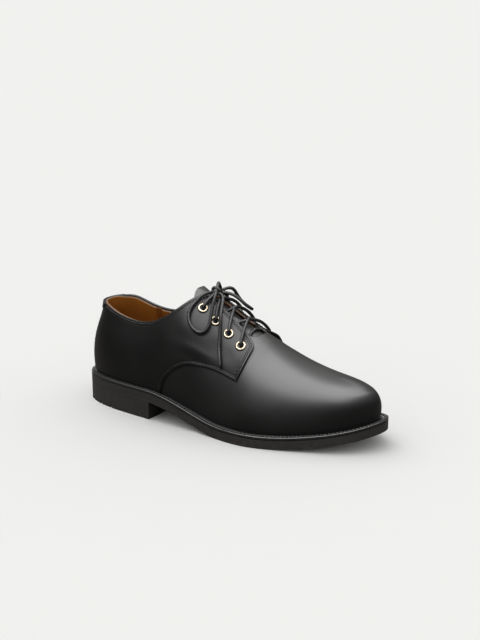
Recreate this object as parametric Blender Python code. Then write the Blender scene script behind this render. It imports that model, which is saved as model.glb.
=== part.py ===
"""Right derby shoe: a plain-toe lace-up in smooth leather on a storm-welted rubber sole.

The toe points along +X, the lateral (outer) side is -Y and the floor is z = 0.
The origin lies on the floor under the middle of the heel block.
"""
import bpy
import bmesh
import numpy as np
from math import cos, pi, radians, sin
from mathutils import Matrix, Vector

# Driving dimensions in metres
LENGTH = 0.302            # outsole, heel to toe
BALL_WIDTH = 0.116        # outsole, across the ball
HEEL_REST = 0.036         # from the back of the heel to the origin
HEEL_HEIGHT = 0.0165      # rubber heel block
SOLE_THICK = 0.0078       # outsole
WELT_THICK = 0.0028       # welt strip between outsole and upper
TOE_SPRING = 0.0150       # rise of the outsole at the toe
LEDGE_FORE = 0.0068       # welt showing beside the upper, forefoot
LEDGE_HEEL = 0.0050       # welt showing beside the upper, heel
INSTEP_HEIGHT = 0.112     # last's ridge at the top of the lacing
UPPER_WALL = 0.0018       # vamp and lining together
QUARTER_STEP = 0.0013     # quarters stand this much proud of the vamp
TAB_STEP = 0.0009         # heel tab stands this much proud of the quarters
TONGUE_WALL = 0.0018
TONGUE_DROP = 0.0013      # gap between the facings and the tongue
INSOLE_THICK = 0.0030
CLEAR = 0.0003            # gap between neighbours that touch
SINK = 0.0011             # overlap of pieces that are fused

# Sole details
BREAST_SHARE = 0.300      # front of the heel block, share of the length
ARCH_END_SHARE = 0.580    # where the underside reaches the floor
SPRING_SHARE = 0.680      # where the toe starts to rise
EDGE_ROUND = 0.0007       # small chamfer on the sole's edges
WELT_REACH = 0.0165       # width of the welt strip, edge to inside
NOTCH_WIDTH = 0.0030      # gaps between the heel's lugs
NOTCH_DEPTH = 0.0022
NOTCH_REACH = 0.0110      # how far a gap runs in from the edge
GROOVE_WIDTH = 0.0040     # grooves between the forefoot's bars
GROOVE_DEPTH = 0.0020
GROOVE_BORDER = 0.0150    # smooth rim left beside the grooves

# Lacing
EYELET_RADIUS = 0.0048
EYELET_HOLE = 0.0025      # radius of the bore
EYELET_TUBE = 0.0031      # outer radius of the barrel
EYELET_RISE = 0.0010
EYELET_DEPTH = 0.0026     # how far the barrel reaches into the facing
LACE = 0.0030             # lace diameter
KNOT_SIZE = (0.0110, 0.0095, 0.0075)
KNOT_LEAN = 28            # degrees
KNOT_GAP = 0.0005         # between the knot and the laces that leave it
AGLET_LENGTH = 0.0170
AGLET_RADIUS = 0.0014

# Mesh counts
SOLE_POINTS = 88          # round the sole's outline
SHELL_ROWS = 9            # from the welt to the shell's top edge
THROAT_COLUMNS = 8        # round the front of the opening
FRONT_COLUMNS = 14        # from there to the toe
QUARTER_COLUMNS = 37
QUARTER_ROWS = 7
TAB_COLUMNS = 9
TAB_ROWS = 4
TONGUE_COLUMNS = 13
TONGUE_ROWS = 5
EYELET_SIDES = 12
LACE_SIDES = 8
STRAND_POINTS = 8

# Outsole outline, heel to toe along the lateral side and back along the medial side
# columns: share of LENGTH, share of BALL_WIDTH
OUTLINE = (
    (0.000, 0.000), (0.022, -0.180), (0.098, -0.298), (0.196, -0.358), (0.314, -0.400), (0.430, -0.430),
    (0.540, -0.475), (0.640, -0.510), (0.735, -0.465), (0.840, -0.365), (0.935, -0.235), (0.990, -0.060),
    (0.992, 0.110), (0.935, 0.275), (0.840, 0.400), (0.740, 0.460), (0.640, 0.455), (0.540, 0.385),
    (0.430, 0.300), (0.314, 0.270), (0.196, 0.295), (0.098, 0.280), (0.022, 0.180),
)

# Centre line of the last, columns: share of LENGTH, share of BALL_WIDTH
CENTRE = ((0.00, 0.000), (0.25, -0.015), (0.50, -0.015), (0.75, 0.005), (1.00, 0.035))

# Sections of the last, fanned round the heel and toe; each is one curve from the welt to the top
# columns: name, axis (share of LENGTH), angle from the toe direction, top height (share of
# INSTEP_HEIGHT), top radius lateral and medial and belly out lateral and medial (shares of
# BALL_WIDTH), belly up (share of INSTEP_HEIGHT), top reach (share of BALL_WIDTH), droop in degrees
SECTIONS = (
    ("heel back", 0.150, 180, 0.880, 0.250, 0.250, 0.036, 0.036, 0.339, 0.190, 88),
    ("heel round", 0.150, 143, 0.885, 0.233, 0.233, 0.045, 0.039, 0.339, 0.190, 88),
    ("heel side", 0.155, 110, 0.900, 0.207, 0.198, 0.052, 0.039, 0.321, 0.224, 86),
    ("ankle", 0.210, 91, 0.930, 0.181, 0.172, 0.052, 0.043, 0.304, 0.259, 82),
    ("shank", 0.290, 90, 0.990, 0.147, 0.138, 0.052, 0.052, 0.268, 0.293, 66),
    ("waist", 0.370, 90, 1.085, 0.086, 0.086, 0.052, 0.052, 0.250, 0.310, 40),
    ("instep", 0.450, 90, 0.995, 0.000, 0.000, 0.047, 0.043, 0.232, 0.345, 14),
    ("throat", 0.530, 90, 0.872, 0.000, 0.000, 0.039, 0.034, 0.214, 0.259, 12),
    ("ball", 0.610, 90, 0.746, 0.000, 0.000, 0.033, 0.030, 0.196, 0.276, 5),
    ("vamp", 0.690, 90, 0.627, 0.000, 0.000, 0.026, 0.026, 0.179, 0.302, 0),
    ("toe side", 0.765, 82, 0.547, 0.000, 0.000, 0.024, 0.024, 0.170, 0.310, 0),
    ("toe round", 0.815, 62, 0.514, 0.000, 0.000, 0.024, 0.024, 0.170, 0.310, 0),
    ("toe corner", 0.842, 34, 0.503, 0.000, 0.000, 0.024, 0.024, 0.170, 0.310, 0),
    ("toe front", 0.850, 0, 0.501, 0.000, 0.000, 0.024, 0.024, 0.170, 0.310, 0),
)
LAST_ROW = len(SECTIONS) - 1
LOOP = 2 * LAST_ROW       # rows all the way round; medial rows are LOOP minus the lateral ones

# Top edge of the quarters, heel to the front corner of the facing
# columns: row of SECTIONS, share of the section's curve
QUARTER_TOP = (
    (0.00, 0.930), (1.00, 0.925), (1.70, 0.895), (2.30, 0.825), (3.00, 0.758), (3.80, 0.738), (4.50, 0.728),
    (5.00, 0.765), (5.35, 0.845), (5.62, 0.928), (5.80, 0.951), (6.20, 0.943), (6.80, 0.915), (7.35, 0.880),
    (7.75, 0.848), (7.98, 0.812), (8.07, 0.765), (8.04, 0.640), (7.98, 0.540), (7.90, 0.450),
)
# Bottom edge of the quarters, with as many rows: the welt, then the curve up to the same corner
QUARTER_LOW = (
    (0.00, 0.000), (0.75, 0.000), (1.45, 0.000), (2.10, 0.000), (2.75, 0.000), (3.40, 0.000), (4.00, 0.000),
    (4.40, 0.000), (4.60, 0.020), (4.70, 0.100), (4.84, 0.175), (5.05, 0.240), (5.35, 0.308), (5.75, 0.368),
    (6.20, 0.405), (6.65, 0.430), (7.05, 0.443), (7.40, 0.447), (7.68, 0.447), (7.88, 0.447),
)
# Front end of the opening over the tongue: the vamp's edge, columns as above
THROAT_END = ((7.35, 0.880), (7.62, 0.868), (7.84, 0.885), (7.96, 0.935), (8.00, 1.000))
# Side edge of the tongue from its top to its front end, columns as above
TONGUE_SIDE = (
    (5.36, 0.950), (5.42, 0.895), (5.60, 0.845), (6.10, 0.795), (6.60, 0.755), (7.10, 0.722), (7.70, 0.690),
    (8.22, 0.680),
)
EYELETS = ((5.90, 0.822), (6.47, 0.783), (7.04, 0.748), (7.62, 0.722))
# The quarters' edge stands this far past the lining's, share of a section
RIM_SET = 0.005
# Heel tab: its middle and half width in rows, and its depth as a share of a section
TAB_ROW = 0.25
TAB_HALF = 1.15
TAB_DROP = 0.130
# Angles round the back of the heel where its lugs are parted, from the back
NOTCH_ANGLES = (-98, -74, -48, -20, 8, 36, 62, 86)
# Grooves across the forefoot, as shares of LENGTH
GROOVES = (0.600, 0.640, 0.680, 0.720, 0.760, 0.800, 0.840)

# A crossing lace, from over its eyelet to beside the other facing; columns: share of the step to the
# next eyelet's row, share of the eyelet's part kept, part added to it, share of the rise from the
# tongue to the eyelet's top, side (1 its own, -1 the other)
STRAND = (
    (0.00, 1.00, 0.000, 1.000, 1), (0.22, 0.58, 0.420, 1.035, 1), (0.42, 0.20, 0.800, 0.719, 1),
    (0.58, 0.00, 0.990, 0.351, -1), (0.74, 0.00, 0.958, 0.053, -1),
)
# Half of the bar under the lowest eyelets, columns: row past the eyelet, part, height over the lowest lace
BAR = ((0.06, 0.925, 0.0004), (0.06, 0.975, 0.0004))
# A lead from a top eyelet to the knot, columns: rows past the eyelet, parts past it, height over its lace
LEAD = ((0.00, 0.000, 0.0000), (0.03, 0.070, 0.0002), (0.06, 0.115, 0.0006))
# The knot's middle, from the ridge: row, then metres to the medial side and up
KNOT_ROW = 6.02
KNOT_SHIFT = (0, -0.0010, 0.0052)

# Routes of the free laces beyond the knot, columns: row, part, height over the vamp;
# an end's aglet points at its last row
BOW_LATERAL = (
    (5.70, 0.910, 0.0044), (5.62, 0.850, 0.0036), (5.55, 0.785, 0.0036),
    (5.58, 0.715, 0.0036), (5.78, 0.655, 0.0036), (6.14, 0.640, 0.0036), (6.35, 0.712, 0.0048),
    (6.25, 0.820, 0.0084), (6.10, 0.915, 0.0128),
)
BOW_MEDIAL = (
    (19.86, 0.930, 0.0120), (19.60, 0.872, 0.0088), (19.22, 0.852, 0.0085),
    (18.95, 0.905, 0.0086), (19.10, 0.968, 0.0092), (19.52, 0.990, 0.0102),
)
END_LATERAL = (
    (6.31, 0.948, 0.0088), (6.50, 0.862, 0.0088), (6.63, 0.795, 0.0080),
    (6.76, 0.720, 0.0052), (6.86, 0.650, 0.0038), (6.92, 0.606, 0.0036), (7.21, 0.466, 0.0038),
)
END_MEDIAL = (
    (20.36, 0.955, 0.0075), (20.32, 0.870, 0.0038), (20.30, 0.800, 0.0036), (20.22, 0.730, 0.0036),
    (20.02, 0.650, 0.0036), (19.80, 0.570, 0.0036), (19.60, 0.430, 0.0038),
)


def smooth_curve(rows, closed):
    """A curve with even bending through rows of values, read at row numbers."""
    rows = np.asarray(rows, float)
    count = len(rows)
    system = np.zeros((count, count))
    target = np.zeros_like(rows)
    for i in range(count):
        before = (i - 1) % count
        after = (i + 1) % count
        if closed or 0 < i < count - 1:
            system[i, [before, i, after]] = 1, 4, 1
            target[i] = 3 * (rows[after] - rows[before])
        else:
            near = after if i == 0 else before
            system[i, [i, near]] = 2, 1
            target[i] = 3 * (rows[near] - rows[i]) * (1 if i == 0 else -1)
    slopes = np.linalg.solve(system, target)

    def at(numbers):
        numbers = np.atleast_1d(np.asarray(numbers, float))
        low = np.floor(numbers).astype(int)
        low = low if closed else np.clip(low, 0, count - 2)
        t = (numbers - low)[:, None]
        low = low % count
        high = (low + 1) % count
        stay = rows[low] * (2 * t**3 - 3 * t**2 + 1) + rows[high] * (3 * t**2 - 2 * t**3)
        lean = slopes[low] * (t**3 - 2 * t**2 + t) + slopes[high] * (t**3 - t**2)
        return stay + lean
    return at


def spaced(curve, last, count):
    """Points at even distances along a curve, from row 0 to row last."""
    fine = curve(np.linspace(0, last, 400))
    steps = np.linalg.norm(np.diff(fine, axis=0), axis=1)
    run = np.concatenate([[0], np.cumsum(steps)])
    places = np.linspace(0, run[-1], count)
    return np.column_stack([np.interp(places, run, fine[:, k]) for k in range(fine.shape[1])])


def ramp(value, start, end):
    k = np.clip((np.asarray(value, float) - start) / (end - start), 0, 1)
    return k * k * (3 - 2 * k)


def share(x):
    """How far along the sole a point lies, 0 at the heel and 1 at the toe."""
    return (np.asarray(x, float) + HEEL_REST) / LENGTH


def station(part):
    """The x of a share of the length."""
    return part * LENGTH - HEEL_REST


def underside(x):
    """Height of the outsole's lower face: flat on the heel, down the arch, flat, toe spring."""
    arch = HEEL_HEIGHT * (1 - ramp(share(x), BREAST_SHARE - 0.02, ARCH_END_SHARE))
    rise = np.clip((share(x) - SPRING_SHARE) / (1 - SPRING_SHARE), 0, 1)
    return arch + TOE_SPRING * rise**2


def seat(x):
    """Height of the welt's upper face, which the upper stands on."""
    return underside(x) + SOLE_THICK + WELT_THICK


def ledge(x):
    return LEDGE_HEEL + (LEDGE_FORE - LEDGE_HEEL) * ramp(share(x), 0.25, 0.60)


def edge_points(count, inset=0.0):
    """The outsole's outline moved inwards by inset, which may differ from point to point."""
    curve = smooth_curve(OUTLINE, True)
    rows = np.linspace(0, len(OUTLINE), count, endpoint=False)
    points = curve(rows) * [LENGTH, BALL_WIDTH] - [HEEL_REST, 0]
    before = curve(rows - 0.01) * [LENGTH, BALL_WIDTH]
    after = curve(rows + 0.01) * [LENGTH, BALL_WIDTH]
    along = (after - before) / np.linalg.norm(after - before, axis=1)[:, None]
    inward = np.column_stack([-along[:, 1], along[:, 0]])
    return points + inward * np.reshape(inset, (-1, 1))


def feather_points(count):
    """Where the upper meets the welt."""
    return edge_points(count, ledge(edge_points(count)[:, 0]))


def section_rows():
    """The section table as a loop, lateral rows first, then the medial ones back to the heel."""
    rows = []
    for side, order in ((-1, SECTIONS), (1, SECTIONS[-2:0:-1])):
        for name, axis, angle, top, top_lat, top_med, out_lat, out_med, up, reach, droop in order:
            top_radius = top_lat if side < 0 else top_med
            belly = out_lat if side < 0 else out_med
            way = (cos(radians(angle)), side * sin(radians(angle)))
            heights = (top * INSTEP_HEIGHT, up * INSTEP_HEIGHT)
            widths = (top_radius * BALL_WIDTH, belly * BALL_WIDTH, reach * BALL_WIDTH)
            rows.append((station(axis), *way, *heights, *widths, droop))
    return rows


LAST = smooth_curve(section_rows(), True)
RIDGE = smooth_curve([(station(row[1]), row[3] * INSTEP_HEIGHT) for row in SECTIONS], False)
FEATHER = feather_points(480)


def centre(x):
    return smooth_curve(CENTRE, False)(share(x) * (len(CENTRE) - 1))[:, 1] * BALL_WIDTH


def reach_feather(origin, way):
    """Distance from a point on the centre line to the feather line, in a given direction."""
    side = np.array([-way[1], way[0]])
    start = (FEATHER - origin) @ side
    end = np.roll(start, -1)
    crossed = np.flatnonzero((start * end <= 0) & (start != end))
    part = (start[crossed] / (start[crossed] - end[crossed]))[:, None]
    hits = FEATHER[crossed] * (1 - part) + np.roll(FEATHER, -1, 0)[crossed] * part
    return ((hits - origin) @ way).max()


def last_point(row, part):
    """Points on the outside of the vamp: row round the shoe, part from the welt to the top."""
    row = np.atleast_1d(np.asarray(row, float)) % LOOP
    part = np.atleast_1d(np.asarray(part, float))[:, None]
    values = LAST(row)
    origin = np.column_stack([values[:, 0], centre(values[:, 0])])
    way = values[:, 1:3] / np.linalg.norm(values[:, 1:3], axis=1)[:, None]
    top, up, top_radius, belly, reach, droop = values[:, 3:9].T
    top_radius = np.maximum(top_radius, 0)
    droop = np.radians(np.maximum(droop, 0))
    foot = np.array([reach_feather(o, w) for o, w in zip(origin, way)])
    base = seat(origin[:, 0] + way[:, 0] * foot) + CLEAR
    lateral_row = np.minimum(row, LOOP - row)
    ahead = RIDGE(np.minimum(lateral_row + 0.02, LAST_ROW))
    behind = RIDGE(np.maximum(lateral_row - 0.02, 0))
    slope = (ahead[:, 1] - behind[:, 1]) / (ahead[:, 0] - behind[:, 0])
    along_ridge = np.where(top_radius < 0.001, np.maximum(way[:, 0], 0), 0)
    shoulder = reach * np.cos(droop)
    knots = (
        np.column_stack([foot, base]),
        np.column_stack([foot + belly, base + up]),
        np.column_stack([top_radius + shoulder, top + (slope * along_ridge - np.tan(droop)) * shoulder]),
        np.column_stack([top_radius, top]),
    )
    profile = (knots[0] * (1 - part)**3 + 3 * knots[1] * part * (1 - part)**2
               + 3 * knots[2] * part**2 * (1 - part) + knots[3] * part**3)
    return np.column_stack([origin + way * profile[:, :1], profile[:, 1]])


def last_normal(row, part):
    """Outward directions at points of the last."""
    row = np.atleast_1d(np.asarray(row, float))
    part = np.atleast_1d(np.asarray(part, float))
    along = last_point(row + 0.03, part) - last_point(row - 0.03, part)
    upper = last_point(row, np.minimum(part + 0.01, 1))
    across = upper - last_point(row, np.minimum(part + 0.01, 1) - 0.02)
    normal = np.cross(along, across)
    return normal / np.linalg.norm(normal, axis=1)[:, None]


def on_last(row, part, height=0.0):
    """Points at a height over the vamp's outside."""
    return last_point(row, part) + last_normal(row, part) * np.reshape(height, (-1, 1))


def material(name, color, roughness, metallic=0.0):
    made = bpy.data.materials.new(name)
    made.use_nodes = True
    shader = made.node_tree.nodes["Principled BSDF"]
    shader.inputs["Base Color"].default_value = (*color, 1)
    shader.inputs["Roughness"].default_value = roughness
    shader.inputs["Metallic"].default_value = metallic
    return made


FINISH = {
    "calf": material("black_calf", (0.012, 0.012, 0.013), 0.38),
    "rubber": material("black_rubber", (0.015, 0.015, 0.016), 0.55),
    "welt": material("black_welt", (0.016, 0.015, 0.015), 0.45),
    "lining": material("tan_lining", (0.42, 0.20, 0.06), 0.60),
    "brass": material("aged_brass", (0.60, 0.52, 0.38), 0.35, metallic=1.0),
    "lace": material("waxed_lace", (0.010, 0.010, 0.011), 0.50),
}


def add_object(name, data, finish):
    made = bpy.data.objects.new(name, data)
    made.data.materials.append(finish)
    bpy.context.collection.objects.link(made)
    return made


def finish_mesh(name, mesh_edit, finish, smooth=True):
    """Turn a bmesh into an object with outward faces."""
    bmesh.ops.remove_doubles(mesh_edit, verts=mesh_edit.verts, dist=1e-6)
    bmesh.ops.recalc_face_normals(mesh_edit, faces=mesh_edit.faces)
    data = bpy.data.meshes.new(name)
    mesh_edit.to_mesh(data)
    mesh_edit.free()
    made = add_object(name, data, finish)
    if smooth:
        data.shade_smooth()
        data.set_sharp_from_angle(angle=radians(35))
    return made


def hide_tool(made):
    made.hide_render = True
    made.display_type = "WIRE"
    return made


def combine(target, tool, operation):
    step = target.modifiers.new(tool.name, "BOOLEAN")
    step.object = tool
    step.operation = operation
    step.solver = "EXACT"
    return step


def skin(mesh_edit, grid, close_rows=False, close_columns=False):
    """Quads over a grid of points: rows by columns."""
    rows, columns = grid.shape[:2]
    corners = [[mesh_edit.verts.new(point) for point in row] for row in grid]
    for i in range(rows if close_rows else rows - 1):
        for j in range(columns if close_columns else columns - 1):
            a = corners[i][j]
            b = corners[(i + 1) % rows][j]
            c = corners[(i + 1) % rows][(j + 1) % columns]
            d = corners[i][(j + 1) % columns]
            mesh_edit.faces.new((a, b, c, d))
    return corners


def slab(name, finish, levels, count, ring=False):
    """A solid that follows the outline; levels give (inset, height) functions of x, bottom to top."""
    mesh_edit = bmesh.new()
    loops = []
    for inset, height in levels:
        flat = edge_points(count, inset(edge_points(count)[:, 0]))
        loops.append(np.column_stack([flat, height(flat[:, 0])]))
    grid = np.array(loops)
    corners = skin(mesh_edit, grid, close_rows=ring, close_columns=True)
    if not ring:
        for loop in (corners[0], corners[-1]):
            half = count // 2
            for i in range(1, half - 1):
                mesh_edit.faces.new((loop[i], loop[i + 1], loop[count - i - 1], loop[count - i]))
            mesh_edit.faces.new((loop[0], loop[1], loop[count - 1]))
            mesh_edit.faces.new((loop[half - 1], loop[half], loop[half + 1]))
    return finish_mesh(name, mesh_edit, finish)


def same(value):
    return lambda x: np.full(np.shape(x), value)


def above(base, value):
    return lambda x: base(x) + value


def edge_at(x):
    """Lateral and medial edges of the outsole at a station."""
    edge = edge_points(400)
    lateral = edge[edge[:, 1] < 0]
    medial = edge[edge[:, 1] > 0]
    sides = []
    for half in (lateral, medial):
        order = np.argsort(half[:, 0])
        sides.append(float(np.interp(x, half[order, 0], half[order, 1])))
    return sides


def joined(name, blocks, finish):
    """Several separate closed shapes as one cutting object; blocks fill a bmesh."""
    mesh_edit = bmesh.new()
    for block in blocks:
        block(mesh_edit)
    return hide_tool(finish_mesh(name, mesh_edit, finish, smooth=False))


def block_of(size, place, turn=0.0, tilt=0.0):
    """A filler for joined: a block of a size, turned about Z and tilted about Y."""
    def fill(mesh_edit):
        made = bmesh.ops.create_cube(mesh_edit, size=1.0)["verts"]
        matrix = Matrix.Translation(place) @ Matrix.Rotation(turn, 4, "Z") @ Matrix.Rotation(tilt, 4, "Y")
        bmesh.ops.transform(mesh_edit, matrix=matrix @ Matrix.Diagonal((*size, 1)), verts=made)
    return fill


def make_outsole():
    """The rubber outsole with grooves across the forefoot, inside a smooth rim."""
    levels = (
        (same(EDGE_ROUND), underside),
        (same(0.0), above(underside, EDGE_ROUND)),
        (same(0.0), above(underside, SOLE_THICK - EDGE_ROUND)),
        (same(EDGE_ROUND), above(underside, SOLE_THICK)),
    )
    outsole = slab("outsole", FINISH["rubber"], levels, SOLE_POINTS)
    cuts = []
    for part in GROOVES:
        x = station(part)
        lateral, medial = edge_at(x)
        width = medial - lateral - 2 * GROOVE_BORDER
        slope = float(underside(x + 0.001) - underside(x - 0.001)) / 0.002
        place = (x, (lateral + medial) / 2, float(underside(x)))
        cuts.append(block_of((GROOVE_WIDTH, width, 2 * GROOVE_DEPTH), place, tilt=-slope))
    combine(outsole, joined("sole_grooves", cuts, FINISH["rubber"]), "DIFFERENCE")
    return outsole


def make_heel():
    """The heel block, with gaps between the lugs round its lower edge."""
    top = above(underside, -CLEAR)
    levels = (
        (same(EDGE_ROUND), same(0.0)),
        (same(0.0), same(EDGE_ROUND)),
        (same(0.0), above(top, -EDGE_ROUND)),
        (same(EDGE_ROUND), top),
    )
    heel = slab("heel", FINISH["rubber"], levels, SOLE_POINTS)
    ahead = block_of((LENGTH, 2 * BALL_WIDTH, LENGTH), (station(BREAST_SHARE) + LENGTH / 2, 0, 0))
    combine(heel, joined("heel_front", [ahead], FINISH["rubber"]), "DIFFERENCE")
    edge = edge_points(400)
    cuts = []
    for angle in NOTCH_ANGLES:
        way = np.array([-cos(radians(angle)), sin(radians(angle))])
        side = np.array([-way[1], way[0]])
        ahead = edge[edge @ way > 0]
        hit = ahead[np.abs(ahead @ side).argmin()]
        place = hit - way * (NOTCH_REACH / 2 - NOTCH_WIDTH)
        size = (NOTCH_REACH + 2 * NOTCH_WIDTH, NOTCH_WIDTH, 2 * NOTCH_DEPTH)
        cuts.append(block_of(size, (*place, 0), turn=float(np.arctan2(way[1], way[0]))))
    combine(heel, joined("heel_gaps", cuts, FINISH["rubber"]), "DIFFERENCE")
    return heel


def make_welt():
    """The welt strip all round, between the outsole and the upper."""
    low = above(seat, CLEAR - WELT_THICK)
    levels = (
        (same(WELT_REACH), low),
        (same(EDGE_ROUND), low),
        (same(0.0), above(low, EDGE_ROUND)),
        (same(0.0), above(seat, -EDGE_ROUND)),
        (same(EDGE_ROUND), seat),
        (same(WELT_REACH), seat),
    )
    return slab("welt", FINISH["welt"], levels, SOLE_POINTS, ring=True)


def make_insole():
    """The insole on the welt, with its filler reaching down to the outsole."""
    def inside(x):
        return ledge(x) + UPPER_WALL + 3 * CLEAR
    filler = same(WELT_REACH + CLEAR)
    levels = (
        (filler, above(seat, CLEAR - WELT_THICK)),
        (filler, above(seat, CLEAR)),
        (inside, above(seat, CLEAR)),
        (inside, above(seat, INSOLE_THICK)),
    )
    return slab("insole", FINISH["lining"], levels, SOLE_POINTS)


def quarter_edge(table):
    """The quarters' top or bottom edge at the sheet's columns, as rows and parts."""
    return smooth_curve(table, False)(np.linspace(0, len(table) - 1, QUARTER_COLUMNS))


def shell_grid():
    """The vamp and the quarters' lining as one sheet, open at the collar and over the tongue."""
    back = quarter_edge(QUARTER_TOP) - [0, RIM_SET]
    back = back[back[:, 0] < THROAT_END[0][0]]
    throat = smooth_curve(THROAT_END, False)(np.linspace(0, len(THROAT_END) - 1, THROAT_COLUMNS))
    front = np.linspace(THROAT_END[-1][0], LAST_ROW, FRONT_COLUMNS)[1:]
    lateral = np.concatenate([back, throat, np.column_stack([front, np.ones(len(front))])])
    medial = lateral[-2:0:-1] * [-1, 1] + [LOOP, 0]
    parts = np.linspace(0, 1, SHELL_ROWS)
    edge = np.concatenate([lateral, medial])
    return np.array([last_point(np.full(SHELL_ROWS, row), parts * top) for row, top in edge])


def thicken(made, thickness, outward):
    wall = made.modifiers.new("wall", "SOLIDIFY")
    wall.thickness = thickness
    wall.offset = 1 if outward else -1
    wall.use_even_offset = False
    return wall


def quarter_grid():
    """Both quarters as one sheet round the heel, from facing corner to facing corner."""
    top = quarter_edge(QUARTER_TOP)
    low = quarter_edge(QUARTER_LOW)
    low[:, 1] = np.maximum(low[:, 1], RIM_SET)
    side = np.concatenate([np.stack([top, low])[:, :0:-1] * [-1, 1], np.stack([top, low])], axis=1)
    grid = []
    for k in range(side.shape[1]):
        steps = np.linspace(0, 1, QUARTER_ROWS)[:, None]
        places = side[1, k] * (1 - steps) + side[0, k] * steps
        grid.append(on_last(places[:, 0], places[:, 1], -SINK))
    return np.array(grid)


def collar_part(row):
    """The quarters' top edge over a row near the heel, as a share of the section."""
    edge = quarter_edge(QUARTER_TOP)[:QUARTER_COLUMNS // 3]
    return float(np.interp(abs(row), edge[:, 0], edge[:, 1]))


def tab_grid():
    """The small tab that laps the back seam at the collar."""
    grid = []
    for t in np.linspace(-1, 1, TAB_COLUMNS):
        row = TAB_ROW + TAB_HALF * t
        top = collar_part(row)
        low = top - 3 * RIM_SET - TAB_DROP * (1 - t * t)**0.8
        places = np.linspace(low, top - RIM_SET / 2, TAB_ROWS)
        grid.append(on_last(np.full(TAB_ROWS, row), places, QUARTER_STEP - SINK))
    return np.array(grid)


def sheet_object(name, grid, finish, thickness, outward, close_rows=False):
    mesh_edit = bmesh.new()
    skin(mesh_edit, grid, close_rows=close_rows)
    made = finish_mesh(name, mesh_edit, finish)
    thicken(made, thickness, outward)
    return made


def eyelet_places():
    """Name, point on the facing and outward direction of every eyelet."""
    for side in ("lateral", "medial"):
        for number, (row, part) in enumerate(EYELETS, start=1):
            place = row if side == "lateral" else LOOP - row
            point = on_last(place, part, QUARTER_STEP + CLEAR)[0]
            yield f"eyelet_{side}_{number}", Vector(point), Vector(last_normal(place, part)[0])


def pin(radius, half, point, normal):
    """A filler for joined: a round pin along a direction."""
    def fill(mesh_edit):
        turn = normal.to_track_quat("Z", "X").to_matrix().to_4x4()
        bmesh.ops.create_cone(
            mesh_edit, cap_ends=True, cap_tris=False, segments=EYELET_SIDES, radius1=radius, radius2=radius,
            depth=2 * half, matrix=Matrix.Translation(point) @ turn)
    return fill


def make_upper():
    """Vamp shell with both quarters and the heel tab fused on, and holes for the eyelets."""
    upper = sheet_object("upper", shell_grid(), FINISH["calf"], UPPER_WALL, outward=False, close_rows=True)
    quarters = sheet_object("quarters", quarter_grid(), FINISH["calf"], QUARTER_STEP + SINK, outward=True)
    tab = sheet_object("heel_tab", tab_grid(), FINISH["calf"], TAB_STEP + SINK, outward=True)
    holes = [pin(EYELET_TUBE + CLEAR, 2 * QUARTER_STEP + 2 * UPPER_WALL, point, normal)
             for name, point, normal in eyelet_places()]
    combine(upper, hide_tool(quarters), "UNION")
    combine(upper, hide_tool(tab), "UNION")
    combine(upper, joined("eyelet_holes", holes, FINISH["calf"]), "DIFFERENCE")
    return upper


def mirrored_pair(lateral, medial):
    """One line of values across the ridge from a lateral and a medial half."""
    middle = (lateral[-1:] + medial[-1:]) / 2
    return np.concatenate([lateral[:-1], middle, medial[-2::-1]])


def make_tongue():
    """The tongue under the facings, from just above them to under the front of the vamp's opening."""
    side = spaced(smooth_curve(TONGUE_SIDE, False), len(TONGUE_SIDE) - 1, TONGUE_COLUMNS)
    grid = []
    for row, part in side:
        half = np.linspace(part, 1, TONGUE_ROWS)
        rows = np.full(TONGUE_ROWS, row)
        points = mirrored_pair(last_point(rows, half), last_point(LOOP - rows, half))
        normals = mirrored_pair(last_normal(rows, half), last_normal(LOOP - rows, half))
        normals /= np.linalg.norm(normals, axis=1)[:, None]
        grid.append(points - normals * (UPPER_WALL + TONGUE_DROP))
    return sheet_object("tongue", np.array(grid), FINISH["calf"], TONGUE_WALL, outward=False)


def make_eyelets():
    """Rolled metal eyelets: one turned profile, set on the facing along its normal."""
    profile = (
        (EYELET_HOLE, -EYELET_DEPTH), (EYELET_TUBE, -EYELET_DEPTH), (EYELET_TUBE, 0.0), (EYELET_RADIUS, 0.0),
        (EYELET_RADIUS - 0.0007, EYELET_RISE * 0.75), (EYELET_TUBE, EYELET_RISE),
        (EYELET_HOLE, EYELET_RISE * 0.55),
    )
    for name, point, normal in eyelet_places():
        mesh_edit = bmesh.new()
        ring = np.linspace(0, 2 * pi, EYELET_SIDES, endpoint=False)
        grid = np.array([[(r * cos(a), r * sin(a), h) for r, h in profile] for a in ring])
        skin(mesh_edit, grid, close_rows=True, close_columns=True)
        turn = normal.to_track_quat("Z", "X").to_matrix().to_4x4()
        bmesh.ops.transform(mesh_edit, matrix=Matrix.Translation(point) @ turn, verts=mesh_edit.verts)
        finish_mesh(name, mesh_edit, FINISH["brass"])


def tube(name, route, radius, finish):
    """A round solid along points."""
    route = [Vector(point) for point in route]
    mesh_edit = bmesh.new()
    side = Vector((0, 0, 1))
    rings = []
    for k, point in enumerate(route):
        along = (route[min(k + 1, len(route) - 1)] - route[max(k - 1, 0)]).normalized()
        side = (side - along * side.dot(along)).normalized()
        other = along.cross(side)
        turns = np.linspace(0, 2 * pi, LACE_SIDES, endpoint=False)
        rings.append([point + (side * cos(a) + other * sin(a)) * radius for a in turns])
    corners = skin(mesh_edit, np.array(rings), close_columns=True)
    mesh_edit.faces.new(corners[0])
    mesh_edit.faces.new(corners[-1])
    return finish_mesh(name, mesh_edit, finish)


LACE_TOP = QUARTER_STEP + EYELET_RISE + 2 * CLEAR + LACE / 2
LACE_LOW = LACE / 2 + CLEAR - UPPER_WALL - TONGUE_DROP


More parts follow.
